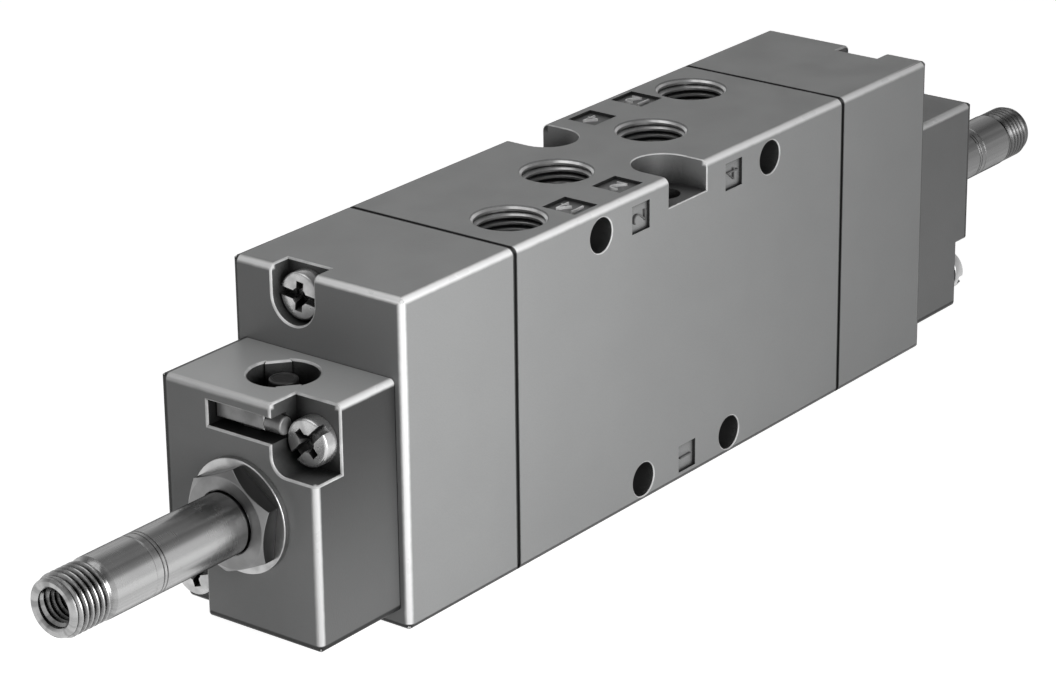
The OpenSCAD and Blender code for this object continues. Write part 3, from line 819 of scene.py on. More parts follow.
@dataclass(frozen=True)
class PlatedFinish(Finish):
    """Plated or machined metal with soft blotches of tone and a fine grain."""

    grain_scale: float = 5200.0
    grain_depth: float = 0.006 * MM
    blotch: float = 0.2
    # Painted shade in recesses: its reach and tone.
    reach: float = 1.6 * MM
    recess_tone: float = 0.1

    def dress(self, draft: MaterialDraft) -> None:
        """Adds blotches, grain, and painted shade that darkens the recesses.

        Args:
            draft: the material.
        """
        grain = draft.effect(EFFECTS.blast_grain, Scale=self.grain_scale)
        smudge = draft.effect(EFFECTS.handling, Scale=420.0)["Smudge"]
        # Painted shade in recesses.
        light = draft.effect(EFFECTS.recess_shade, Reach=self.reach)["Light"]
        blotched = draft.mix(smudge, self.shade(1 + self.blotch), self.shade(1 - self.blotch))
        draft.put("Base Color", draft.mix(light, self.shade(self.recess_tone), blotched))
        draft.put("Roughness", draft.scaled(smudge, self.roughness, 0.05))
        draft.put("Normal", draft.bump(grain["Grain"], self.grain_depth))


@dataclass(frozen=True)
class RimFinish(PlatedFinish):
    """Bright edge, a painted highlight, that gets a painted dark outline where it rolls out of sight."""

    # Painted shade in recesses, and painted dark outline at grazing view.
    recess_tone: float = 0.3
    rolled_tone: float = 0.15

    def dress(self, draft: MaterialDraft) -> None:
        """Adds the painted dark outline to the plated look.

        Args:
            draft: the material.
        """
        super().dress(draft)
        # Painted dark outline where the rim rolls out of sight.
        rolled = draft.rolled()
        plated = draft.inputs["Base Color"].links[0].from_socket
        draft.put("Base Color", draft.tint(rolled, plated, self.rolled_tone))
        draft.put("Specular IOR Level", draft.faded(rolled, self.specular, 1.0))


@dataclass(frozen=True)
class MouldedFinish(Finish):
    """Rubber or plastic with a matt moulded skin."""

    grain_scale: float = 3000.0
    grain_depth: float = 0.012 * MM
    cloud_swing: float = 0.2

    def dress(self, draft: MaterialDraft) -> None:
        """Adds clouds of tone and the grain of the skin.

        Args:
            draft: the material.
        """
        grain = draft.effect(EFFECTS.blast_grain, Scale=self.grain_scale)
        dull, fair = self.shade(1 - self.cloud_swing), self.shade(1 + self.cloud_swing)
        draft.put("Base Color", draft.mix(grain["Cloud"], dull, fair))
        draft.put("Roughness", draft.scaled(grain["Grain"], self.roughness, 0.06))
        draft.put("Normal", draft.bump(grain["Grain"], self.grain_depth))


# Modelling helpers


def lathe(profile: Sequence[Point], closed: bool = True, steps: int = ROUND_STEPS) -> Shape:
    """Revolves a profile about the X axis.

    Args:
        profile: (radius, station) points; an open profile starts and ends on the axis.
        closed: whether the last point joins the first.
        steps: facets round the axis.

    Returns:
        The closed shape, its faces outwards.
    """
    bm = bmesh.new()
    verts = [bm.verts.new((station, 0, radius)) for radius, station in profile]
    pairs = list(zip(verts, verts[1:]))
    if closed:
        pairs.append((verts[-1], verts[0]))
    edges = [bm.edges.new(pair) for pair in pairs]
    bmesh.ops.spin(
        bm,
        geom=verts + edges,
        cent=(0, 0, 0),
        axis=(1, 0, 0),
        dvec=(0, 0, 0),
        angle=FULL_TURN,
        steps=steps,
        use_merge=True,
    )
    bmesh.ops.remove_doubles(bm, verts=bm.verts, dist=WELD)
    bmesh.ops.recalc_face_normals(bm, faces=bm.faces)
    return bm


def wind(section: Sequence[Point], start: float, pitch: float, turns: float, fade: float) -> Shape:
    """Winds a closed thread section about the X axis.

    Args:
        section: (radius, offset) points about the pitch line; the first one is at the root.
        start: station of the first turn.
        pitch: advance along X for each turn.
        turns: number of turns.
        fade: turns over which each end runs out into the root.

    Returns:
        The closed helical ridge.
    """
    bm = bmesh.new()
    steps = round(turns * ROUND_STEPS / 2)
    layer = bm.verts.layers.float.new("offset")
    verts = []
    for radius, offset in section:
        vert = bm.verts.new((start + offset, 0, radius))
        vert[layer] = offset
        verts.append(vert)
    edges = [bm.edges.new(pair) for pair in zip(verts, verts[1:] + verts[:1])]
    bmesh.ops.spin(
        bm,
        geom=verts + edges,
        cent=(0, 0, 0),
        axis=(1, 0, 0),
        dvec=(pitch * turns / steps, 0, 0),
        angle=FULL_TURN * turns,
        steps=steps,
        use_merge=False,
    )
    root = section[0][0]
    for vert in bm.verts:
        wound = (vert.co.x - start - vert[layer]) / pitch
        share = min(1.0, max(0.02, wound / fade), max(0.02, (turns - wound) / fade))
        radius = math.hypot(vert.co.y, vert.co.z)
        scale = (root + (radius - root) * share) / radius
        vert.co.y *= scale
        vert.co.z *= scale
    bmesh.ops.holes_fill(bm, edges=[e for e in bm.edges if e.is_boundary], sides=0)
    bmesh.ops.recalc_face_normals(bm, faces=bm.faces)
    bm.verts.layers.float.remove(layer)
    return bm


def ridge(base: float, foot: float, crest: float, half: float, flat: float) -> list[Point]:
    """Section of a thread ridge with a flat crest.

    Args:
        base: radius inside the wall that carries the ridge.
        foot: radius at the foot of the flanks.
        crest: radius of the crest.
        half: half the width of the foot.
        flat: half the width of the crest.

    Returns:
        Its (radius, offset) points, from the base.
    """
    return [(base, -half), (foot, -half), (crest, -flat), (crest, flat), (foot, half), (base, half)]


def rounded_rim(radius: float, top: float, size: float) -> list[Point]:
    """Quarter round of a lathe profile, from its side over to its top.

    Args:
        radius: radius of the side.
        top: station of the top.
        size: radius of the rounding.

    Returns:
        Its (radius, station) points.
    """
    turns = [math.radians(step) for step in range(0, 91, 15)]
    return [(radius - size + size * math.cos(a), top - size + size * math.sin(a)) for a in turns]


def block(low: Sequence[float], high: Sequence[float]) -> Shape:
    """An upright box.

    Args:
        low: its lowest corner.
        high: its highest corner.

    Returns:
        The box.
    """
    bm = bmesh.new()
    bmesh.ops.create_cube(bm, size=1.0)
    size = Vector(high) - Vector(low)
    middle = (Vector(high) + Vector(low)) / 2
    return placed(bm, Matrix.Translation(middle) @ Matrix.Diagonal((*size, 1)))


def placed(bm: Shape, matrix: Matrix) -> Shape:
    """Moves a whole shape and returns it."""
    bmesh.ops.transform(bm, matrix=matrix, verts=bm.verts)
    return bm


def joined(shapes: Iterable[Shape]) -> Shape:
    """Puts shapes together as separate shells of one.

    Args:
        shapes: the shapes; they are freed.

    Returns:
        The whole.
    """
    whole = bmesh.new()
    for shape in shapes:
        mesh = bpy.data.meshes.new("part")
        shape.to_mesh(mesh)
        shape.free()
        whole.from_mesh(mesh)
        bpy.data.meshes.remove(mesh)
    return whole


def carved(stock: Shape, cutter: Shape, how: str = "DIFFERENCE") -> Shape:
    """Cuts one closed shape with another.

    Args:
        stock: the shape that is cut; it is freed.
        cutter: the closed shape that cuts; it is freed.
        how: DIFFERENCE, INTERSECT or UNION.

    Returns:
        The cut shape.
    """
    objects = []
    for shape in (stock, cutter):
        mesh = bpy.data.meshes.new("blank")
        shape.to_mesh(mesh)
        shape.free()
        blank = bpy.data.objects.new("blank", mesh)
        bpy.context.scene.collection.objects.link(blank)
        objects.append(blank)
    cut = objects[0].modifiers.new("cut", "BOOLEAN")
    cut.operation = how
    cut.object = objects[1]
    cut.solver = "EXACT"
    result = bmesh.new()
    result.from_object(objects[0], bpy.context.evaluated_depsgraph_get())
    for blank in objects:
        mesh = blank.data
        bpy.data.objects.remove(blank)
        bpy.data.meshes.remove(mesh)
    bmesh.ops.remove_doubles(result, verts=result.verts, dist=WELD)
    return result


def number_shape(text: str, size: float, height: float) -> Shape:
    """A raised number, flat in XY, centred, standing from z = 0 up to height.

    Args:
        text: the digits.
        size: height of the line of text.
        height: how far it stands up.

    Returns:
        The closed letters.
    """
    curve = bpy.data.curves.new("number", "FONT")
    curve.body = text
    curve.size = size
    curve.align_x = "CENTER"
    curve.align_y = "CENTER"
    curve.extrude = height / 2
    curve.offset = -0.022 * size
    curve.resolution_u = 6
    holder = bpy.data.objects.new("number", curve)
    bpy.context.scene.collection.objects.link(holder)
    bpy.context.view_layer.update()
    drawn = holder.evaluated_get(bpy.context.evaluated_depsgraph_get())
    mesh = bpy.data.meshes.new_from_object(drawn)
    bpy.data.objects.remove(holder)
    bpy.data.curves.remove(curve)
    bm = bmesh.new()
    bm.from_mesh(mesh)
    bpy.data.meshes.remove(mesh)
    bmesh.ops.remove_doubles(bm, verts=bm.verts, dist=WELD)
    middle = (max(v.co.x for v in bm.verts) + min(v.co.x for v in bm.verts)) / 2
    return placed(bm, Matrix.Translation((-middle, 0, height / 2)))


@dataclass
class Workshop:
    """Makes finished meshes into pieces of the valve, with their bodies and finishes."""

    body: str = "valve"
    count: int = 0

    def piece(
        self,
        name: str,
        bm: Shape,
        material: Material,
        nodes: Sequence[str] = (),
        edge: float = 0.0,
        body: str | None = None,
        second: Material | None = None,
    ) -> bpy.types.Object:
        """Makes a piece from a shape.

        Args:
            name: name of the piece.
            bm: its shape, in place; it is freed.
            material: its finish.
            nodes: CAD nodes that the piece stands for.
            edge: width of the broken sharp edges, or 0 for none.
            body: the body that it rides on, if not the valve.
            second: finish of the faces whose material index is 1.

        Returns:
            The piece.
        """
        for face in bm.faces:
            face.smooth = not face.tag
        for line in bm.edges:
            alike = len({face.material_index for face in line.link_faces}) == 1
            line.smooth = alike and line.calc_face_angle(0.0) < SHARP
        mesh = bpy.data.meshes.new(name)
        bm.to_mesh(mesh)
        bm.free()
        mesh.materials.append(material)
        if second:
            mesh.materials.append(second)
        made = bpy.data.objects.new(name, mesh)
        bpy.context.scene.collection.objects.link(made)
        if edge:
            self.break_edges(made, edge)
        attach(made, body or self.body)
        if nodes:
            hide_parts(*nodes)
        self.count += 1
        LOG.info("piece %s: %d faces on %s", name, len(mesh.polygons), body or self.body)
        return made

    @staticmethod
    def break_edges(made: bpy.types.Object, width: float) -> None:
        """Rounds the sharp edges of a piece.

        Args:
            made: the piece.
            width: width of the rounding.
        """
        soft = made.modifiers.new("broken edges", "BEVEL")
        soft.limit_method = "ANGLE"
        soft.angle_limit = math.radians(38)
        soft.width = width
        soft.segments = 2
        soft.profile = 0.5
        soft.harden_normals = True

    @staticmethod
    def width_across(line: Edge, face: Face) -> float:
        """How far a face reaches away from one of its edges.

        Args:
            line: the edge.
            face: the face.

        Returns:
            The distance.
        """
        start = line.verts[0].co
        along = (line.verts[1].co - start).normalized()
        aside = [vert.co - start for vert in face.verts]
        return max((step - along * step.dot(along)).length for step in aside)

    @classmethod
    def is_rim(cls, line: Edge, low: Vector, high: Vector, joints: Sequence[float]) -> bool:
        """Whether an edge is a sharp convex one of the outer faces or their roundings.

        Shallow steps, such as the fields of the port numbers, keep sharp edges.

        Args:
            line: the edge.
            low: lowest corner of the node's box.
            high: highest corner of the node's box.
            joints: stations of the end faces that meet a neighbour and keep sharp edges.

        Returns:
            True where the edge is broken.
        """
        if line.calc_face_angle(0.0) < BREAKABLE or not line.is_convex:
            return False
        ends = [vert.co for vert in line.verts]
        if any(all(abs(end.x - joint) < RIM_REACH for end in ends) for joint in joints):
            return False
        planes = [(axis, corner[axis]) for corner in (low, high) for axis in range(3)]
        free = [
            (axis, at)
            for axis, at in planes
            if axis or all(abs(at - joint) > RIM_REACH for joint in joints)
        ]
        if not all(any(abs(end[axis] - at) < ROUNDED_REACH for axis, at in free) for end in ends):
            return False
        return min(cls.width_across(line, face) for face in line.link_faces) > SHALLOW

    @staticmethod
    def lies_in(face: Face, axis: int, place: float) -> bool:
        """Whether a face lies in a plane across an axis."""
        return all(abs(vert.co[axis] - place) < FLAT_REACH for vert in face.verts)

    @classmethod
    def refill(cls, bm: Shape, axis: int, place: float) -> None:
        """Fills the flat regions of one plane again inside their outlines.

        Args:
            bm: the shape.
            axis: number of the axis that the plane lies across.
            place: where it lies on that axis.
        """
        for face in bm.faces:
            level = abs(face.normal[axis]) > LEVEL and face.calc_area() > FLAT_AREA
            if level and abs(face.calc_center_median()[axis] - place) < RIM_REACH:
                for vert in face.verts:
                    vert.co[axis] = place
        left = {face for face in bm.faces if cls.lies_in(face, axis, place)}
        while left:
            region = [left.pop()]
            for face in region:
                for line in face.edges:
                    beside = [other for other in line.link_faces if other in left]
                    left.difference_update(beside)
                    region.extend(beside)
            inside = set(region)
            edges = {line for face in region for line in face.edges}
            outline = [line for line in edges if len(inside.intersection(line.link_faces)) == 1]
            outline.sort(key=lambda line: line.index)
            facing = sum(face.calc_area() * face.normal[axis] for face in region)
            bmesh.ops.delete(bm, geom=region, context="FACES_KEEP_BOUNDARY")
            normal = Vector((0, 0, 0))
            normal[axis] = math.copysign(1, facing)
            filled = bmesh.ops.triangle_fill(
                bm, use_beauty=True, use_dissolve=False, edges=outline, normal=normal
            )
            faces = [item for item in filled["geom"] if isinstance(item, Face)]
            area = sum(face.calc_area() for face in faces)
            if abs(area - abs(facing)) > FILL_ERROR * abs(facing):
                areas = (area / MM**2, facing / MM**2)
                LOG.warning("flat %d at %.2f mm: %.2f mm2 filled of %.2f", axis, place / MM, *areas)
            bm.normal_update()
            for face in faces:
                face.material_index = 0
                if face.normal[axis] * facing < 0:
                    face.normal_flip()

    @staticmethod
    def cleaned(node: str) -> Shape:
        """Copy of a CAD node, welded, with its level triangles joined.

        Args:
            node: the CAD node.

        Returns:
            The shape.
        """
        bm = bmesh.new()
        bm.from_mesh(frame["nodes"][node].data)
        bmesh.ops.remove_doubles(bm, verts=bm.verts, dist=1e-6)
        angle = math.radians(0.6)
        bmesh.ops.dissolve_limit(
            bm, angle_limit=angle, use_dissolve_boundaries=False, verts=bm.verts, edges=bm.edges
        )
        bm.normal_update()
        return bm

    @staticmethod
    def flats(bm: Shape) -> list[tuple[int, float]]:
        """Planes of the large faces that lie across an axis.

        Args:
            bm: the shape.

        Returns:
            The number of the axis and the place on it, in order.
        """
        found = set()
        for face in bm.faces:
            if face.calc_area() > FLAT_AREA:
                across = [axis for axis in range(3) if abs(face.normal[axis]) > TRUE_LEVEL]
                found.update((axis, round(face.verts[0].co[axis], 7)) for axis in across)
        return sorted(found)

    def from_node(
        self,
        node: str,
        material: Material,
        edge: float,
        rim: Material,
        joints: Sequence[float] = (),
    ) -> bpy.types.Object:
        """Makes a piece from a copy of a CAD node, with its outer edges broken.

        Args:
            node: the CAD node, which the piece stands for.
            material: its finish.
            edge: width of the broken edges.
            rim: finish of the broken edges; on the castings and housings it is painted bright as a
                highlight.
            joints: stations of the end faces that meet a neighbour and keep sharp edges.

        Returns:
            The piece.
        """
        bm = self.cleaned(node)
        flats = self.flats(bm)
        low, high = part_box(node)
        rims = [line for line in bm.edges if self.is_rim(line, low, high, joints)]
        broken = bmesh.ops.bevel(
            bm,
            geom=rims,
            offset=edge,
            offset_type="OFFSET",
            affect="EDGES",
            segments=2,
            profile=0.5,
            material=-1,
            clamp_overlap=False,
        )
        for face in bm.faces:
            face.material_index = 0
        for face in broken["faces"]:
            face.material_index = 1
        bm.verts.index_update()
        bm.edges.index_update()
        for axis, place in flats:
            self.refill(bm, axis, place)
        for face in bm.faces:
            face.tag = any(self.lies_in(face, axis, place) for axis, place in flats)
        body = frame["nodes"][node]["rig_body"]
        return self.piece(f"{node}_finished", bm, material, [node], body=body, second=rim)

    @staticmethod
    def dress(node: str, material: Material) -> None:
        """Gives a CAD node that keeps its shape a better finish.

        Args:
            node: the CAD node.
            material: the finish.
        """
        for slot in frame["nodes"][node].material_slots:
            slot.material = material
        LOG.info("node %s: finish %s", node, material.name)


SHOP = Workshop()


# Sub-assemblies


@dataclass
class PortThreads:
    """Machined mouth and thread of the ports, made at the mounts of the record."""

    ports: tuple[int, ...] = (1, 2, 3, 4, 5, 12, 14)
    pitch: float = 0.907 * MM
    minor_r: float = 4.33 * MM
    root_r: float = 4.79 * MM
    sunk: float = 0.036 * MM
    crest_half: float = 0.12 * MM
    lead_in: float = 0.4 * MM
    crest_gap: float = 0.26 * MM
    mouth_gap: float = 0.16 * MM
    mouth_top: float = 0.02 * MM
    countersink: float = 0.14 * MM
    land: float = 0.2 * MM
    collar: float = 0.9 * MM

    def mouth(self, major_r: float) -> Shape:
        """Lead-in cone from the mouth down to the thread's inner diameter.

        Args:
            major_r: radius of the port's bore.

        Returns:
            The closed ring.
        """
        outer = major_r + self.sunk
        top = major_r + self.mouth_gap
        inner = self.minor_r + self.crest_gap
        floor = -(top - inner) - self.mouth_top
        return lathe(
            [
                (top, -self.mouth_top),
                (inner, floor),
                (inner, floor - self.land),
                (outer, -self.collar - self.land),
                (outer + 0.03 * MM, -0.1 * MM),
            ]
        )

    def thread(self, major_r: float, depth: float) -> Shape:
        """Inner thread from below the mouth down to the end of the hole.

        Args:
            major_r: radius of the port's bore.
            depth: depth of the hole.

        Returns:
            The ridge.
        """
        half = 0.498 * self.pitch
        section = ridge(major_r + self.sunk, self.root_r, self.minor_r, half, self.crest_half)
        start = -self.lead_in - half
        turns = (depth - self.lead_in - 2 * half) / self.pitch
        return wind(section, start, -self.pitch, turns, 0.3)

    def build(self) -> None:
        """Makes one threaded piece for each port."""
        # Painted shade darkens the thread valleys.
        machined = PlatedFinish(
            "machined_bore_finish", grey(182), 0.34, 0.8, reach=0.9 * MM, recess_tone=0.06
        ).build()
        mounts = {mount["name"]: mount for mount in frame["record"]["mounts"]}
        for name in (f"port_{number}" for number in self.ports):
            mount = mounts[name]
            length = mount["dims"]["length_mm"] * MM
            major_r = mount["dims"]["r_mm"] * MM
            axis = Vector(mount["axis"])
            mouth = Vector(mount["pos_m"]) + axis * (length / 2 + self.countersink)
            turn = Direction.UP if axis.z > 0 else Direction.DOWN
            shape = joined([self.mouth(major_r), self.thread(major_r, length + self.countersink)])
            place = Matrix.Translation(mouth) @ turn.value
            SHOP.piece(f"{name}_thread", placed(shape, place), machined)


@dataclass
class PortNumbers:
    """Raised port numbers in the sunk fields of the body; they read towards the front end."""

    stand: float = 0.36 * MM
    floor: float = 0.4 * MM
    size: float = 3.9 * MM
    # The top numbers are painted light as a highlight and the side numbers painted dark as shade.
    top_level: float = 215
    side_level: float = 92
    top_fields: dict[str, Point] = field(
        default_factory=lambda: {
            "14": (-20.25 * MM, -9.5 * MM),
            "2": (-10.1 * MM, -9.5 * MM),
            "4": (10.1 * MM, 9.5 * MM),
            "12": (20.25 * MM, 9.5 * MM),
        }
    )
    side_fields: dict[str, Point] = field(
        default_factory=lambda: {
            "2": (-10.45 * MM, 40.05 * MM),
            "4": (10.45 * MM, 40.05 * MM),
            "1": (0.0, 3.25 * MM),
        }
    )

    def number(self, text: str, face: str, place: Matrix, material: Material) -> None:
        """Makes one number.

        Args:
            text: its digits.
            face: the face of the body that it is on.
            place: where its middle is and how it is turned.
            material: its finish.
        """
        shape = placed(number_shape(text, self.size, self.stand), place)
        SHOP.piece(f"number_{face}_{text}", shape, material)

    def build(self) -> None:
        """Makes the numbers on the top face and on the side face."""
        # Light numbers on top as painted highlight, dark ones on the side as painted shade, each with
        # painted recess shade.
        light, dark = (
            PlatedFinish(f"{tone}_number_finish", grey(level), 0.4, 0.3, recess_tone=0.8).build()
            for tone, level in (("light", self.top_level), ("dark", self.side_level))
        )
        low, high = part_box("valve_body")
        reading = Matrix.Rotation(math.pi / 2, 4, "Z")
        for text, (x, y) in self.top_fields.items():
            place = Matrix.Translation((x, y, high.z - self.floor))
            self.number(text, "top", place @ reading, light)
        upright = Matrix.Rotation(math.pi / 2, 4, "X")
        for text, (x, z) in self.side_fields.items():
            place = Matrix.Translation((x, low.y + self.floor, z))
            self.number(text, "side", place @ upright @ reading, dark)


@dataclass
class CombiScrew:
    """Cheese-head screw with a slot through the head and a crossed recess."""

    head_r: float = 3.075 * MM
    head_h: float = 2.1 * MM
    rim: float = 0.35 * MM
    slot_w: float = 1.15 * MM
    slot_depth: float = 1.2 * MM
    wing_half: float = 2.15 * MM
    wing_depth: float = 1.5 * MM
    wing_taper: Point = (0.8, 0.62)
    cone_r: float = 1.3 * MM
    core_depth: float = 1.7 * MM
    seat_chamfer: float = 0.1 * MM
    crown: float = 0.02 * MM

    def head(self) -> Shape:
        """Head alone, seated at x = 0 and facing +X, its slot along Y.

        Returns:
            The head.
        """
        r, h, foot = self.head_r, self.head_h, self.seat_chamfer
        side = [(0, 0), (r - foot, 0), (r, foot)]
        outline = [*side, *rounded_rim(r, h, self.rim), (0, h + self.crown)]
        shape = lathe(outline, closed=False, steps=64)
        over, half, core = h + OVERCUT, self.slot_w / 2, h - self.core_depth
        slot = block((h - self.slot_depth, -2 * r, -half), (over, 2 * r, half))
        cone = [(0, core), (0.5 * self.cone_r, core), (self.cone_r, over), (0, over)]
        tip = lathe(cone, closed=False, steps=24)
        for cutter in (slot, self.wing(0.0), self.wing(math.pi / 2), tip):
            shape = carved(shape, cutter)
        return shape

    def wing(self, turn: float) -> Shape:
        """Tapered cutter for one bar of the crossed recess.

        Args:
            turn: turn of the bar from Z, about X.

        Returns:
            The cutter.
        """
        h, half = self.head_h, self.slot_w / 2
        bar = block((h - self.wing_depth, -half, -self.wing_half), (h + OVERCUT, half, self.wing_half))
        for vert in bar.verts:
            if vert.co.x < h - OVERCUT:
                vert.co.y *= self.wing_taper[0]
                vert.co.z *= self.wing_taper[1]
        return placed(bar, Matrix.Rotation(turn, 4, "X"))

    def shank(self, radius: float, length: float) -> Shape:
        """Plain shank behind the seat, pointed at its end.

        Args:
            radius: its radius.
            length: its length.

        Returns:
            The shank.
        """
        root = 0.05 * MM
        point = [(0, -length), (0.75 * radius, -length), (radius, -length + 0.5 * radius)]
        return lathe([*point, (radius, root), (0, root)], closed=False, steps=32)

    def made(self, seat: Sequence[float], turn: float, shank_r: float, length: float) -> Shape:
        """A whole screw at a seat.

        Args:
            seat: middle of the face under the head.
            turn: turn of the slot from Y, about X.
            shank_r: radius of the shank.
            length: length of the shank.

        Returns:
            The screw.
        """
        shape = joined([self.head(), self.shank(shank_r, length)])
        return placed(shape, Matrix.Translation(seat) @ Matrix.Rotation(turn, 4, "X"))


@dataclass
class EndScrews:
    """The two cap screws and the two housing screws of one end."""

    side: Side
    screw: CombiScrew = field(default_factory=CombiScrew)
    cap_turns: Point = (math.radians(-6), math.radians(60))
    housing_turns: Point = (math.radians(45), math.radians(20))
    pocket_set_back: float = 1.7 * MM
    cap_shank_r: float = 2 * MM
    housing_shank_r: float = 1.75 * MM

    def build(self, material: Material) -> None:
        """Makes the screws at the corners of the boxes of their CAD nodes.

        Args:
            material: their finish.
        """
        r, h = self.screw.head_r, self.screw.head_h
        low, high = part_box(Side.REAR.node("cap_screws"))
        seat = high.x - h
        length = seat - low.x
        upper = self.screw.made((seat, low.y + r, high.z - r), self.cap_turns[0], self.cap_shank_r, length)
        lower = self.screw.made((seat, high.y - r, low.z + r), self.cap_turns[1], self.cap_shank_r, length)
        self.finish("cap_screws", [upper, lower], material)
        low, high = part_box(Side.REAR.node("pilot_screws"))
        notch = high.x - h
        pocket = notch - self.pocket_set_back
        shank = (self.housing_shank_r, pocket - low.x)
        upper = self.screw.made((pocket, high.y - r, high.z - r), self.housing_turns[0], *shank)
        lower = self.screw.made((notch, low.y + r, low.z + r), self.housing_turns[1], *shank)
        self.finish("pilot_screws", [upper, lower], material)

    def finish(self, name: str, shapes: list[Shape], material: Material) -> None:
        """Turns a pair of screws to their end and makes them a piece.

        Args:
            name: name of their node, without its end.
            shapes: the two screws.
            material: their finish.
        """
        node = self.side.node(name)
        shape = placed(joined(shapes), self.side.turn)
        for face in shape.faces:
            face.tag = abs(face.normal.x) > 0.99 and face.calc_area() > FLAT_AREA
        SHOP.piece(f"{node}_driven", shape, material, [node], 0.07 * MM)


@dataclass
class ArmatureStem:
    """Washer, gland nut, tube and core head of one end, all about the tube axis."""

    side: Side
    nut_af: float = 12 * MM
    nut_turn: float = math.radians(23)
    nut_t: float = 2.4 * MM
    chamfer_fall: float = 0.62
    spigot_r: float = 5.35 * MM
    wall: float = 0.7 * MM
    flange_t: float = 1.2 * MM
    foot_step: float = 0.2 * MM
    foot_out: float = 0.3 * MM
    groove_set_back: float = 1.4 * MM
    groove_depth: float = 0.17 * MM
    bore_gap: float = 0.05 * MM
    vent_r: float = 0.5 * MM
    plug_gap: float = 0.75 * MM
    thread_pitch: float = 0.88 * MM
    thread_crest: float = 3.94 * MM
    thread_root: float = 3.42 * MM
    thread_len: float = 6.6 * MM
    bore_r: float = 2.5 * MM
    bore_crest: float = 2.08 * MM
    bore_pitch: float = 0.8 * MM
    bore_len: float = 8 * MM

    def __post_init__(self) -> None:
        """Reads the stations of the stem from the frame."""
        self.tube_low, self.tube_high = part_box(Side.REAR.node("armature_tube"))
        self.core_low, self.core_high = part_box(Side.REAR.node("fixed_core"))
        self.nut_low, self.nut_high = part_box(Side.REAR.node("gland_nut"))
        self.washer_low, self.washer_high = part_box(Side.REAR.node("tube_washer"))
        middle = (self.tube_low + self.tube_high) / 2
        self.axis = Matrix.Translation((0, middle.y, middle.z))
        self.tube_r = (self.core_high.y - self.core_low.y) / 2
        self.flange_r = (self.tube_high.y - self.tube_low.y) / 2

    def finish(
        self,
        name: str,
        shape: Shape,
        material: Material,
        slot: Slot,
        edge: float,
        second: Material | None = None,
    ) -> None:
        """Puts a shape on the tube axis at this end and makes it stand for its node.

        Args:
            name: name of the node, without its end.
            shape: the shape, about the X axis.
            material: its finish.
            slot: the record's slot; not used.
            edge: width of its broken edges, or 0 for none.
            second: finish of its faces whose material index is 1.
        """
        node = self.side.node(name)
        shape = placed(shape, self.side.turn @ self.axis)
        SHOP.piece(f"{node}_turned", shape, material, [node], edge, second=second)

    def washer(self, material: Material) -> None:
        """Flat washer with rounded rims.

        Args:
            material: its finish.
        """
        x0, x1 = self.washer_low.x, self.washer_high.x
        outer = (self.washer_high.y - self.washer_low.y) / 2
        inner = self.spigot_r + 2 * self.bore_gap
        shape = lathe([(inner, x0), (outer, x0), (outer, x1), (inner, x1)], steps=FINE_STEPS)
        self.finish("tube_washer", shape, material, Slot.SCREW, 0.16 * MM)

    def nut(self, material: Material, flats: Material) -> None:
        """Hexagon with a chamfered face, and the spigot that goes into the housing.

        Args:
            material: finish of the turned faces.
            flats: finish of the six flats, darker as a painted dark reflection.
        """
        flat_r = self.nut_af / 2
        corner_r = self.nut_af / math.sqrt(3)
        x1 = self.nut_high.x
        x0 = x1 - self.nut_t
        hexagon = bmesh.new()
        bmesh.ops.create_circle(hexagon, cap_ends=True, radius=corner_r, segments=6)
        lifted = bmesh.ops.extrude_face_region(hexagon, geom=list(hexagon.faces))
        top = [item for item in lifted["geom"] if isinstance(item, bmesh.types.BMVert)]
        bmesh.ops.translate(hexagon, verts=top, vec=(0, 0, self.nut_t))
        bmesh.ops.recalc_face_normals(hexagon, faces=hexagon.faces)
        stand = Matrix.Translation((x0, 0, 0)) @ Matrix.Rotation(self.nut_turn, 4, "X")
        placed(hexagon, stand @ Matrix.Rotation(math.pi / 2, 4, "Y"))
        fall = (corner_r - flat_r) * self.chamfer_fall
        around = corner_r + 1 * MM
        outline = [
            (0, x0 - OVERCUT),
            (around, x0 - OVERCUT),
            (around, x1 - fall - 1.05 * MM),
            (flat_r - 0.15 * MM, x1),
            (0, x1),
        ]
        shape = carved(hexagon, lathe(outline, closed=False, steps=FINE_STEPS), "INTERSECT")
        bore_r = self.tube_r + self.bore_gap
        behind, before = x0 - 1 * MM, x1 + 0.08 * MM
        bore = lathe(
            [
                (0, behind),
                (bore_r, behind),
                (bore_r, x1 - 0.12 * MM),
                (bore_r + 0.2 * MM, before),
                (0, before),
            ],
            closed=False,
        )
        shape = carved(shape, bore)
        shape.normal_update()
        for face in shape.faces:
            middle = face.calc_center_median()
            outer = math.hypot(middle.y, middle.z) > 0.9 * flat_r
            face.material_index = int(outer and abs(face.normal.x) < 0.1)
        foot, end = self.nut_low.x, x0 + 1 * MM
        spigot = lathe([(bore_r, foot), (self.spigot_r, foot), (self.spigot_r, end), (bore_r, end)])
        self.finish("gland_nut", joined([shape, spigot]), material, Slot.NUT, 0.1 * MM, flats)

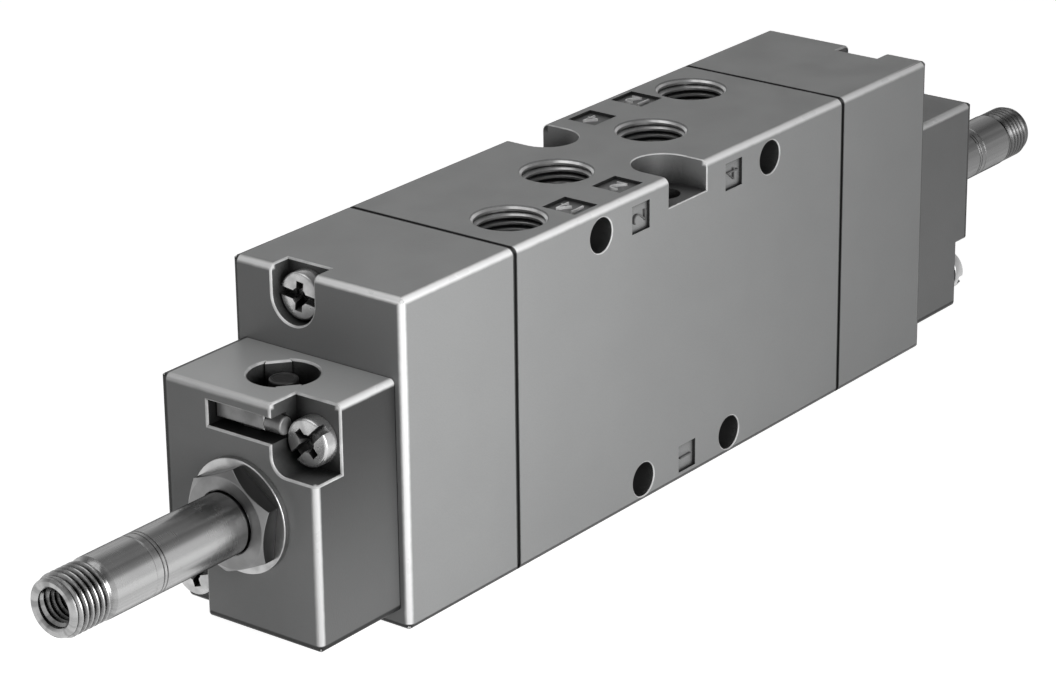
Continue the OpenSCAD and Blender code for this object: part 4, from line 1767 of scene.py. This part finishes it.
    def tube(self, material: Material) -> None:
        """Drawn tube with its flange, and two rolled grooves next to the core head.

        Args:
            material: its finish.
        """
        r, x0, x1 = self.tube_r, self.tube_low.x, self.tube_high.x
        inner, foot_r = r - self.wall, r - self.foot_step
        flange = x0 + self.flange_t
        seat = self.nut_high.x + self.foot_out
        groove, dent = x1 - self.groove_set_back, self.groove_depth
        shape = lathe(
            [
                (inner, x0),
                (self.flange_r, x0),
                (self.flange_r, flange),
                (foot_r, flange),
                (foot_r, seat),
                (r, seat + 0.06 * MM),
                (r, groove - 2.4 * dent),
                (r - dent, groove - 1.7 * dent),
                (r, groove - dent),
                (r, groove + dent),
                (r - dent, groove + 1.7 * dent),
                (r, groove + 2.4 * dent),
                (r, x1 - dent),
                (r - dent, x1),
                (inner, x1),
            ],
            steps=FINE_STEPS,
        )
        self.finish("armature_tube", shape, material, Slot.TUBE, 0.0)

    def core(self, material: Material) -> None:
        """Core head with its outer thread, and the thread in its end.

        Args:
            material: its finish.
        """
        r, end, tip = self.tube_r, self.tube_high.x, self.core_high.x
        dent = 0.15 * MM
        plug_r = r - self.plug_gap
        thread_x = tip - self.thread_len
        root = self.thread_root
        head = lathe(
            [
                (self.vent_r, self.core_low.x),
                (plug_r, self.core_low.x),
                (plug_r, end),
                (r - dent, end),
                (r, end + dent),
                (r, thread_x - 0.1 * MM),
                (root + 0.1 * MM, thread_x + 0.35 * MM),
                (root, thread_x + 0.6 * MM),
                (root, tip - 0.75 * MM),
                (root + 0.22 * MM, tip - 0.5 * MM),
                (root + 0.2 * MM, tip - 0.3 * MM),
                (root - 0.02 * MM, tip - 0.06 * MM),
                (root - 0.1 * MM, tip),
                (self.bore_r + 0.32 * MM, tip),
                (self.bore_r + 0.25 * MM, tip - 0.03 * MM),
                (self.bore_r - 0.02 * MM, tip - 0.3 * MM),
                (self.bore_r, tip - 0.35 * MM),
                (self.bore_r, tip - self.bore_len),
                (self.vent_r, tip - self.bore_len - self.bore_r),
            ],
            steps=FINE_STEPS,
        )
        whole = joined([head, self.outer_thread(thread_x, tip), self.inner_thread(tip)])
        self.finish("fixed_core", whole, material, Slot.TUBE, 0.0)

    def outer_thread(self, first: float, tip: float) -> Shape:
        """Ridge of the outer thread, run out at both ends.

        Args:
            first: station where the head ends and the thread starts.
            tip: station of the end of the core.

        Returns:
            The ridge.
        """
        root, crest, half = self.thread_root, self.thread_crest, 0.46 * self.thread_pitch
        section = ridge(root - 0.12 * MM, root + 0.02 * MM, crest - 0.03 * MM, half, 0.1 * MM)
        section.insert(len(section) // 2, (crest, 0))
        start = first + 0.5 * MM
        turns = (tip - 0.6 * MM - start) / self.thread_pitch
        return wind(section, start, self.thread_pitch, turns, 0.35)

    def inner_thread(self, tip: float) -> Shape:
        """Ridge of the thread in the end of the core.

        Args:
            tip: station of the end of the core.

        Returns:
            The ridge.
        """
        r, half = self.bore_r, 0.46 * self.bore_pitch
        section = ridge(r + 0.05 * MM, r - 0.03 * MM, self.bore_crest, half, 0.06 * MM)
        turns = (self.bore_len - 1.6 * MM) / self.bore_pitch
        return wind(section, tip - 0.8 * MM, -self.bore_pitch, turns, 0.3)


@dataclass
class OverridePlunger:
    """Plunger of the manual override, pressed from above."""

    side: Side
    top_r: float = 1.85 * MM
    tip_r: float = 0.8 * MM
    neck_r: float = 1.6 * MM
    collar: float = 25.4 * MM
    collar_top: float = 27.9 * MM
    neck_len: float = 2.2 * MM
    groove_set_back: float = 0.6 * MM
    groove_w: float = 0.84 * MM
    groove_depth: float = 0.74 * MM
    round_r: float = 0.3 * MM
    dish: float = 0.05 * MM

    def build(self, material: Material) -> None:
        """Makes the plunger on the axis and between the heights of its node.

        Args:
            material: its finish.
        """
        low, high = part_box(Side.REAR.node("override_plunger"))
        middle = (low.x + high.x) / 2
        collar_r = (high.x - low.x) / 2
        groove_r = collar_r - self.groove_depth
        groove = self.collar + self.groove_set_back
        groove_top = groove + self.groove_w
        neck_top = self.collar_top + self.neck_len
        tip, r, top = low.z, self.top_r, high.z
        shape = lathe(
            [
                (0, tip),
                (self.tip_r - self.round_r, tip),
                (self.tip_r, tip + self.round_r),
                (self.tip_r, self.collar),
                (collar_r, self.collar),
                (collar_r, groove),
                (groove_r, groove),
                (groove_r, groove_top),
                (collar_r, groove_top),
                (collar_r, self.collar_top),
                (self.neck_r, self.collar_top),
                (self.neck_r, neck_top),
                (r, neck_top),
                *rounded_rim(r, top, self.round_r),
                (0.75 * r, top),
                (0.7 * r, top - self.dish),
                (0, top - self.dish),
            ],
            closed=False,
            steps=64,
        )
        node = self.side.node("override_plunger")
        place = self.side.turn @ Matrix.Translation((middle, 0, 0)) @ Direction.UP.value
        body = f"{self.side.prefix}_override"
        SHOP.piece(f"{node}_turned", placed(shape, place), material, [node], 0.0, body)


@dataclass
class Castings:
    """Body, end caps, pilot housings and clips, which keep their CAD shape with broken edges."""

    body_edge: float = 0.14 * MM
    cap_edge: float = 0.24 * MM
    housing_edge: float = 0.26 * MM
    clip_edge: float = 0.2 * MM
    casting_level: float = 150
    housing_level: float = 101
    clip_level: float = 130
    # Painted highlights: levels of the bright near edges and of the bright rims of the broken edges.
    cast_edge_level: float = 242
    moulded_edge_level: float = 220
    cast_rim_level: float = 212
    moulded_rim_level: float = 190
    beyond: float = 10 * MM
    # Painted light and shade: the caps' ends and insides darker, and the front and rear housings with
    # different tones on their sides and tops.
    cap_shades: dict[str, float] = field(
        default_factory=lambda: {"end_tone": 0.62, "inside_tone": 0.4, "shut": 0.6}
    )
    housing_shades: dict[Side, dict[str, float]] = field(
        default_factory=lambda: {
            Side.FRONT: {"side_top_tone": 0.25, "top_tone": 1.8, "top_outer_tone": 2.2},
            Side.REAR: {"side_tone": 1.5, "side_top_tone": 0.9, "top_outer_tone": 1.4},
        }
    )

    def cast_finish(self, node: str, joints: Sequence[float], **shades: float) -> Material:
        """Finish of a cast block."""
        return self.block_finish(node, self.casting_level, self.cast_edge_level, joints, **shades)

    def block_finish(
        self, node: str, level: float, edge_level: float, joints: Sequence[float], **shades: float
    ) -> Material:
        """Grained finish with painted highlights on its outer edges.

        Args:
            node: the node whose box gives the edges.
            level: display level of its colour.
            edge_level: display level of the painted highlight on its edges.
            joints: stations of end faces that meet a neighbour, whose edges get no painted highlight.
            shades: painted light and shade tones of its faces and the depth of its painted recess shade, by
                the fields of the finish.

        Returns:
            The material.
        """
        low, high = (corner.copy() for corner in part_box(node))
        if any(abs(low.x - joint) < RIM_REACH for joint in joints):
            low.x -= self.beyond
        if any(abs(high.x - joint) < RIM_REACH for joint in joints):
            high.x += self.beyond
        return BlockFinish(
            name=f"{node}_finish",
            colour=tinted(level, (0.99, 1.0, 1.0)),
            roughness=0.42,
            metallic=0.05,
            specular=0.25,
            edge_colour=grey(edge_level),
            joint=abs(joints[0]),
            low=tuple(low),
            high=tuple(high),
            **shades,
        ).build()

    @staticmethod
    def inner_end(node: str) -> list[float]:
        """Station of the end face of a block that meets the block before it."""
        return [min((corner.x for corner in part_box(node)), key=abs)]

    def build(self) -> None:
        """Makes the blocks of the valve."""
        # Rims of the broken edges: painted highlights on the castings and housings.
        cast_rim = RimFinish("cast_rim_finish", grey(self.cast_rim_level)).build()
        moulded_rim = RimFinish("moulded_rim_finish", grey(self.moulded_rim_level)).build()
        clip = PlatedFinish("clip_finish", grey(self.clip_level), 0.4, 0.5).build()
        ends = [corner.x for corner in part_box("valve_body")]
        finish = self.cast_finish("valve_body", ends, shut=0.56)
        SHOP.from_node("valve_body", finish, self.body_edge, cast_rim, ends)
        for side in Side:
            node = side.node("end_cap")
            joint = self.inner_end(node)
            finish = self.cast_finish(node, joint, **self.cap_shades)
            SHOP.from_node(node, finish, self.cap_edge, cast_rim, joint)
            node = side.node("pilot_housing")
            joint = self.inner_end(node)
            # Painted light on the housings' front faces, painted recess shade, and the tones of each end.
            shades = {"shut": 0.62, "end_tone": 1.85, **self.housing_shades[side]}
            finish = self.block_finish(node, self.housing_level, self.moulded_edge_level, joint, **shades)
            SHOP.from_node(node, finish, self.housing_edge, moulded_rim, joint)
            SHOP.from_node(side.node("override_clip"), clip, self.clip_edge, clip)


@dataclass
class InnerParts:
    """Parts inside the valve, which keep their CAD shape."""

    plain: dict[Slot, tuple[str, ...]] = field(
        default_factory=lambda: {
            Slot.RUBBER: (
                "cap_gasket",
                "piston_seal",
                "pilot_gasket",
                "tube_o_ring",
                "armature_seals",
                "override_seal",
            ),
            Slot.CAGE: ("piston",),
            Slot.STEEL: ("armature", "armature_spring", "override_spring"),
            Slot.BRASS: ("pilot_nozzle",),
        }
    )
    middle: dict[Slot, tuple[str, ...]] = field(
        default_factory=lambda: {
            Slot.RUBBER: ("spool_seals",),
            Slot.CAGE: ("spacer_cages",),
            Slot.STEEL: ("spool",),
        }
    )

    @staticmethod
    def finishes() -> dict[Slot, Material]:
        """One finish for each kind of inner part.

        Returns:
            The material of each slot.
        """
        cream = tinted(214, (1.0, 0.98, 0.9))
        made = {
            Slot.RUBBER: MouldedFinish("rubber_finish", grey(38), 0.62),
            Slot.CAGE: MouldedFinish("cage_finish", cream, 0.42, grain_scale=2000.0),
            Slot.STEEL: PlatedFinish("ground_steel_finish", grey(190), 0.24, 1.0),
            Slot.BRASS: PlatedFinish("brass_finish", (0.62, 0.42, 0.16), 0.28, 1.0),
        }
        return {slot: finish.build() for slot, finish in made.items()}

    def build(self) -> None:
        """Dresses the inner parts."""
        finishes = self.finishes()
        for slot, nodes in self.middle.items():
            for node in nodes:
                SHOP.dress(node, finishes[slot])
        for slot, nodes in self.plain.items():
            for node in nodes:
                for side in Side:
                    SHOP.dress(side.node(node), finishes[slot])


@dataclass
class EndFittings:
    """Screws, tube stem and override plunger of both ends, with their finishes."""

    # The front tube is lighter than the rear one: painted light and shade on one steel.
    tube_levels: dict[Side, float] = field(default_factory=lambda: {Side.FRONT: 172, Side.REAR: 120})

    def tube_finish(self, side: Side) -> Material:
        """Drawn finish about the axis of the tube of one end.

        Args:
            side: the end.

        Returns:
            The material.
        """
        low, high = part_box(side.node("armature_tube"))
        middle = (low + high) / 2
        name = f"{side.prefix}_tube_finish"
        drawn = grey(self.tube_levels[side])
        return TurnedFinish(name, drawn, 0.26, 1.0, axis=(middle.y, middle.z)).build()

    def build(self) -> None:
        """Makes the fittings of both ends."""
        screws = PlatedFinish("zinc_screw_finish", grey(180), 0.3, 0.9).build()
        nut = PlatedFinish("zinc_nut_finish", grey(122), 0.34, 1.0, blotch=0.08).build()
        # The nut's flats are darker: painted dark reflection.
        flats = PlatedFinish("nut_flat_finish", grey(70), 0.35, 0.9, blotch=0.1).build()
        washer = PlatedFinish("washer_finish", grey(165), 0.34, 1.0, recess_tone=0.4).build()
        plunger = MouldedFinish("plunger_finish", grey(28), 0.42).build()
        for side in Side:
            tube = self.tube_finish(side)
            EndScrews(side).build(screws)
            stem = ArmatureStem(side)
            stem.washer(washer)
            stem.nut(nut, flats)
            stem.tube(tube)
            stem.core(tube)
            OverridePlunger(side).build(plunger)


@dataclass
class Studio:
    """White floor, soft lamps and the camera of the photograph."""

    azimuth: float = -52.22
    elevation: float = 21.48
    roll: float = -0.69
    distance: float = 485.69 * MM
    target: Place = (-16.94 * MM, 0.0, 22.25 * MM)
    lens: float = 126.876
    floor_half: float = 6.0
    floor_glow: float = 0.94
    ambient: float = 0.12
    zenith: float = 0.25
    lit: Place = (-40 * MM, -10 * MM, 22 * MM)
    side_place: Place = (-90 * MM, -150 * MM, 60 * MM)
    side_level: float = 1.07
    side_size: float = 0.1
    top_place: Place = (-120 * MM, 60 * MM, 300 * MM)
    top_level: float = 0.3
    top_size: float = 0.25

    def back(self, azimuth: float, elevation: float) -> Vector:
        """Unit direction from the target to a camera or lamp, angles in degrees."""
        a, e = math.radians(azimuth), math.radians(elevation)
        return Vector((math.sin(a) * math.cos(e), -math.cos(a) * math.cos(e), math.sin(e)))

    def camera(self) -> None:
        """Camera fitted to the photograph's corners."""
        data = bpy.data.cameras.new("camera")
        data.sensor_width = 36
        data.lens = self.lens
        data.clip_start = 0.01
        data.clip_end = 20
        eye = bpy.data.objects.new("camera", data)
        bpy.context.scene.collection.objects.link(eye)
        away = self.back(self.azimuth, self.elevation)
        aim = (-away).to_track_quat("-Z", "Y").to_matrix().to_4x4()
        lean = Matrix.Rotation(math.radians(self.roll), 4, "Z")
        eye.matrix_world = Matrix.Translation(Vector(self.target) + away * self.distance) @ aim @ lean
        bpy.context.scene.camera = eye

    def lamp(self, name: str, place: Vector, level: float, size: float) -> None:
        """Square soft lamp that faces the lit point.

        Args:
            name: name of the lamp.
            place: where it stands.
            level: light on a surface that faces it there, where 1 shows a colour as written.
            size: side of the square.
        """
        ray = Vector(self.lit) - place
        data = bpy.data.lights.new(name, "AREA")
        data.shape = "SQUARE"
        data.size = size
        data.energy = level * math.pi**2 * ray.length_squared
        lamp = bpy.data.objects.new(name, data)
        bpy.context.scene.collection.objects.link(lamp)
        lamp.matrix_world = Matrix.Translation(place) @ ray.to_track_quat("-Z", "Y").to_matrix().to_4x4()
        lamp.visible_camera = False

    @staticmethod
    def seen(wire: Wiring, *rays: str) -> Socket:
        """Value that is 1 for the named kinds of ray.

        Args:
            wire: the tree.
            rays: outputs of the Light Path node.

        Returns:
            The value.
        """
        path = wire.node("ShaderNodeLightPath").outputs
        value = path[rays[0]]
        for ray in rays[1:]:
            value = wire.math("MAXIMUM", value, path[ray])
        return value

    def floor(self) -> None:
        """White floor that keeps a soft shadow."""
        bm = bmesh.new()
        bmesh.ops.create_grid(bm, x_segments=1, y_segments=1, size=self.floor_half)
        mesh = bpy.data.meshes.new("floor")
        bm.to_mesh(mesh)
        bm.free()
        draft = MaterialDraft("floor_finish")
        draft.put("Base Color", (0.5, 0.5, 0.5, 1))
        draft.put("Roughness", 0.9)
        draft.put("Specular IOR Level", 0.0)
        draft.put("Emission Color", (1, 1, 1, 1))
        seen = self.seen(draft, "Is Camera Ray", "Is Glossy Ray")
        draft.put("Emission Strength", draft.math("MULTIPLY", seen, self.floor_glow))
        mesh.materials.append(draft.material)
        ground = bpy.data.objects.new("floor", mesh)
        bpy.context.scene.collection.objects.link(ground)

    def world(self) -> None:
        """White background that darkens overhead, and a plain ambient light."""
        world = bpy.data.worlds.new("studio")
        world.use_nodes = True
        bpy.context.scene.world = world
        wire = Wiring(world.node_tree)
        sky = world.node_tree.nodes["Background"]
        seen = self.seen(wire, "Is Camera Ray", "Is Glossy Ray", "Is Transmission Ray")
        wire.feed(sky.inputs["Strength"], wire.math("MULTIPLY_ADD", seen, 1 - self.ambient, self.ambient))
        height = wire.split(wire.coordinates("Generated"))[2]
        rise = wire.ramp(height, 0.2, 0.8)
        wire.feed(sky.inputs["Color"], wire.mix(rise, (1, 1, 1), (self.zenith,) * 3))

    def build(self) -> None:
        """Sets up the camera, the floor and the light."""
        self.camera()
        self.floor()
        self.world()
        self.lamp("side_lamp", Vector(self.side_place), self.side_level, self.side_size)
        self.lamp("top_lamp", Vector(self.top_place), self.top_level, self.top_size)
        bpy.context.scene.view_settings.view_transform = "Standard"


def main() -> None:
    """Builds the valve and the studio."""
    logging.basicConfig(level=logging.INFO, format="%(name)s: %(message)s")
    for part in (Studio(), Castings(), InnerParts(), PortThreads(), PortNumbers(), EndFittings()):
        part.build()
    LOG.info("%d pieces made", SHOP.count)


if __name__ == "__main__":
    main()
